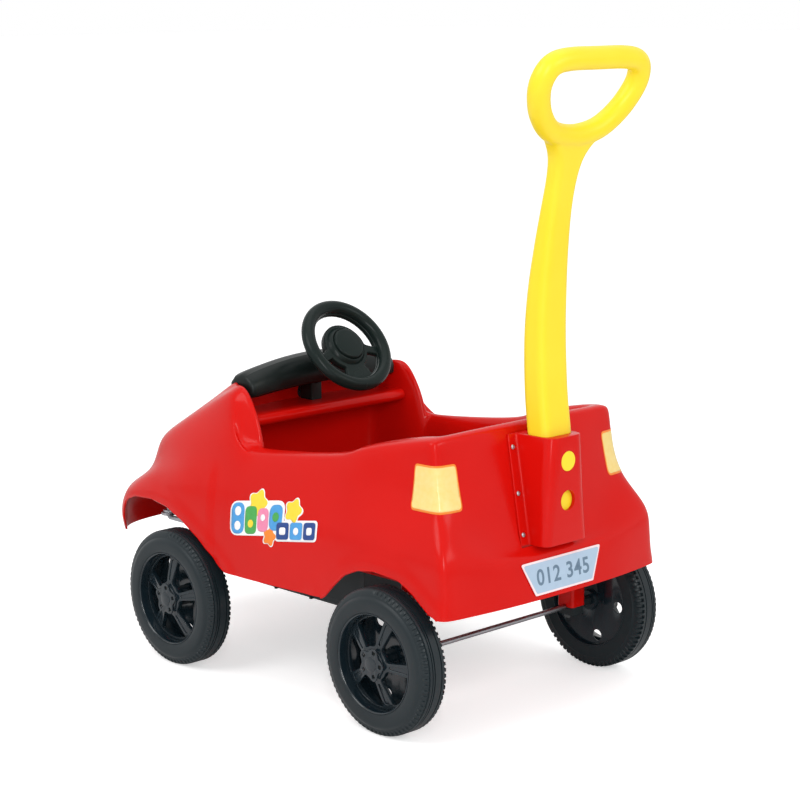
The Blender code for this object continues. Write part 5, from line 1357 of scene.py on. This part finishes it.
def tile(x0, y0, x1, y1, soft):
    """A rectangle between two corners, with soft corners."""
    return rounded(((x0, y0), (x1, y0), (x1, y1), (x0, y1)), soft)


def dot(x, y, radius):
    """A small round."""
    return arc(radius, 0, 345, 23, (x, y))


print("a flower has", len(flower(0, 0, 1)), "points")

# %% [markdown]
# The shapes lie one over the other, with the white edge at the bottom, and each
# is 0.05 mm further out than the one before, so that none flickers.

# %% Side stickers
SIDE_STICKER = (   # ink, outline; each one lies over those before it
    ("white", flower(-0.038, 0.021, 0.0205)), ("white", flower(0.040, 0.010, 0.0180)),
    ("white", flower(-0.008, -0.026, 0.0150)),
    ("white", tile(-0.098, -0.026, 0.022, 0.026, 0.016)),
    ("white", tile(0.004, -0.034, 0.094, -0.003, 0.007)), ("sun", flower(-0.038, 0.022, 0.0180)),
    ("sun", flower(0.040, 0.011, 0.0155)), ("orange", flower(-0.008, -0.027, 0.0125)),
    ("sky", tile(-0.095, -0.0235, -0.066, 0.0235, 0.013)),
    ("leaf", tile(-0.064, -0.0235, -0.038, 0.0180, 0.009)),
    ("pink", tile(-0.036, -0.0200, -0.012, 0.0150, 0.010)),
    ("sky", tile(-0.010, -0.0180, 0.018, 0.0200, 0.012)), ("white", dot(-0.0805, 0.011, 0.0070)),
    ("white", dot(-0.0805, -0.011, 0.0070)), ("sun", dot(-0.0510, -0.008, 0.0060)),
    ("white", dot(-0.0240, 0.001, 0.0050)), ("leaf", dot(0.0040, 0.002, 0.0070)),
    ("deep", tile(0.0075, -0.0310, 0.034, -0.0060, 0.005)),
    ("sky", tile(0.037, -0.0310, 0.063, -0.0060, 0.005)),
    ("deep", tile(0.066, -0.0310, 0.0905, -0.0060, 0.005)),
    ("white", tile(0.0140, -0.0240, 0.0275, -0.0130, 0.004)),
    ("white", dot(0.0500, -0.0185, 0.0055)),
    ("white", tile(0.0725, -0.0240, 0.0840, -0.0130, 0.004)),
)
for name, sign in SIDES:
    for layer, (ink, outline) in enumerate(SIDE_STICKER):
        lift = 0.00030 + 0.00005 * layer
        laid(f"side_sticker_{layer:02d}_{name}", outline, from_side(sign), lift, ink)
print("side stickers: 2, of", len(SIDE_STICKER), "layers")

# %% [markdown]
# ## Floor
#
# A catalogue photo has white paper under the car and white walls all round.
# The floor is one big sheet of that paper. What the camera sees of it glows a
# little, so that it fades into the white behind, and it keeps the shadow.

# %% Floor
FLOOR_HALF, FIBRE_MM, PAPER_GLOW = 40.0, 300.0, 0.50
bm = bmesh.new()
bmesh.ops.create_grid(bm, x_segments=24, y_segments=24, size=FLOOR_HALF)
mesh = bpy.data.meshes.new("studio_floor")
bm.to_mesh(mesh)
bm.free()
floor = bpy.data.objects.new("studio_floor", mesh)
bpy.context.scene.collection.objects.link(floor)
paper, tree, shader, place = begin_material("studio_paper")
fibre = node(tree, "ShaderNodeTexNoise",
             {"Vector": place, "Scale": per_metre(FIBRE_MM), "Detail": 2.0})
tint = node(tree, "ShaderNodeMix",
            {0: fibre.outputs["Fac"], 6: srgb("#F6F6F6"), 7: srgb("#FAFAFA")}, data_type='RGBA')
seen = node(tree, "ShaderNodeLightPath")
glow = node(tree, "ShaderNodeMath", {0: seen.outputs["Is Camera Ray"], 1: PAPER_GLOW},
            operation='MULTIPLY')
tree.links.new(tint.outputs[2], shader.inputs["Base Color"])
tree.links.new(glow.outputs[0], shader.inputs["Emission Strength"])
shader.inputs["Emission Color"].default_value = (1, 1, 1, 1)
shader.inputs["Roughness"].default_value = 0.6
shader.inputs["Specular IOR Level"].default_value = 0.2
mesh.materials.append(paper)
print("floor:", len(mesh.polygons), "faces")

# %% [markdown]
# ## Room and lamps
#
# The room is pure white to the eye and in reflections, but it lights the object
# with a little less, so that its colours come out as they are written. The
# Light Path node tells the world which kind of ray asks.

# %% Room
ROOM_LIGHT, ROOM_WHITE = 0.62, 1.0
world = bpy.data.worlds.new("studio")
world.use_nodes = True
tree = world.node_tree
room = tree.nodes["Background"]
room.inputs["Color"].default_value = (1, 1, 1, 1)
room.inputs["Strength"].default_value = ROOM_LIGHT
walls = node(tree, "ShaderNodeBackground", {"Color": (1, 1, 1, 1), "Strength": ROOM_WHITE})
ray = node(tree, "ShaderNodeLightPath").outputs
eye_or_gloss = node(tree, "ShaderNodeMath", {0: ray["Is Camera Ray"], 1: ray["Is Glossy Ray"]},
                    operation='MAXIMUM')
any_of = node(tree, "ShaderNodeMath",
              {0: eye_or_gloss.outputs[0], 1: ray["Is Transmission Ray"]}, operation='MAXIMUM')
both = node(tree, "ShaderNodeMixShader", {0: any_of.outputs[0], 1: room.outputs["Background"],
                                          2: walls.outputs["Background"]})
tree.links.new(both.outputs["Shader"], tree.nodes["World Output"].inputs["Surface"])
bpy.context.scene.world = world
bpy.context.scene.view_settings.view_transform = 'Standard'
print("room light:", ROOM_LIGHT)

# %% [markdown]
# Four soft lamps give the shapes their highlights: a key light from the front
# left, one behind, one overhead, and a narrow strip over the camera, which
# draws the thin bright line down the rear corner that faces it.

# %% Lamps
LAMPS = (   # name, place, target, size, watts
    ("lamp_key", (1.8, -0.2, 2.0), (0, 0, 0.25), (1.2, 1.2), 16),
    ("lamp_back", (-0.4, 2.4, 1.6), (0, 0.1, 0.3), (1.6, 0.8), 12),
    ("lamp_over", (0.0, 0.0, 2.8), (0, 0, 0), (2.2, 2.2), 14),
    ("lamp_strip", (2.55, 2.85, 1.75), (0.1, 0.3, 0.3), (0.16, 2.0), 42),
)
for name, place, target, size, watts in LAMPS:
    lamp = bpy.data.lights.new(name, 'AREA')
    lamp.shape = 'RECTANGLE'
    lamp.size, lamp.size_y = size
    lamp.energy = watts
    made = bpy.data.objects.new(name, lamp)
    made.location = place
    made.rotation_euler = (Vector(target) - Vector(place)).to_track_quat('-Z', 'Y').to_euler()
    bpy.context.scene.collection.objects.link(made)
print("lamps:", len(bpy.data.lights))
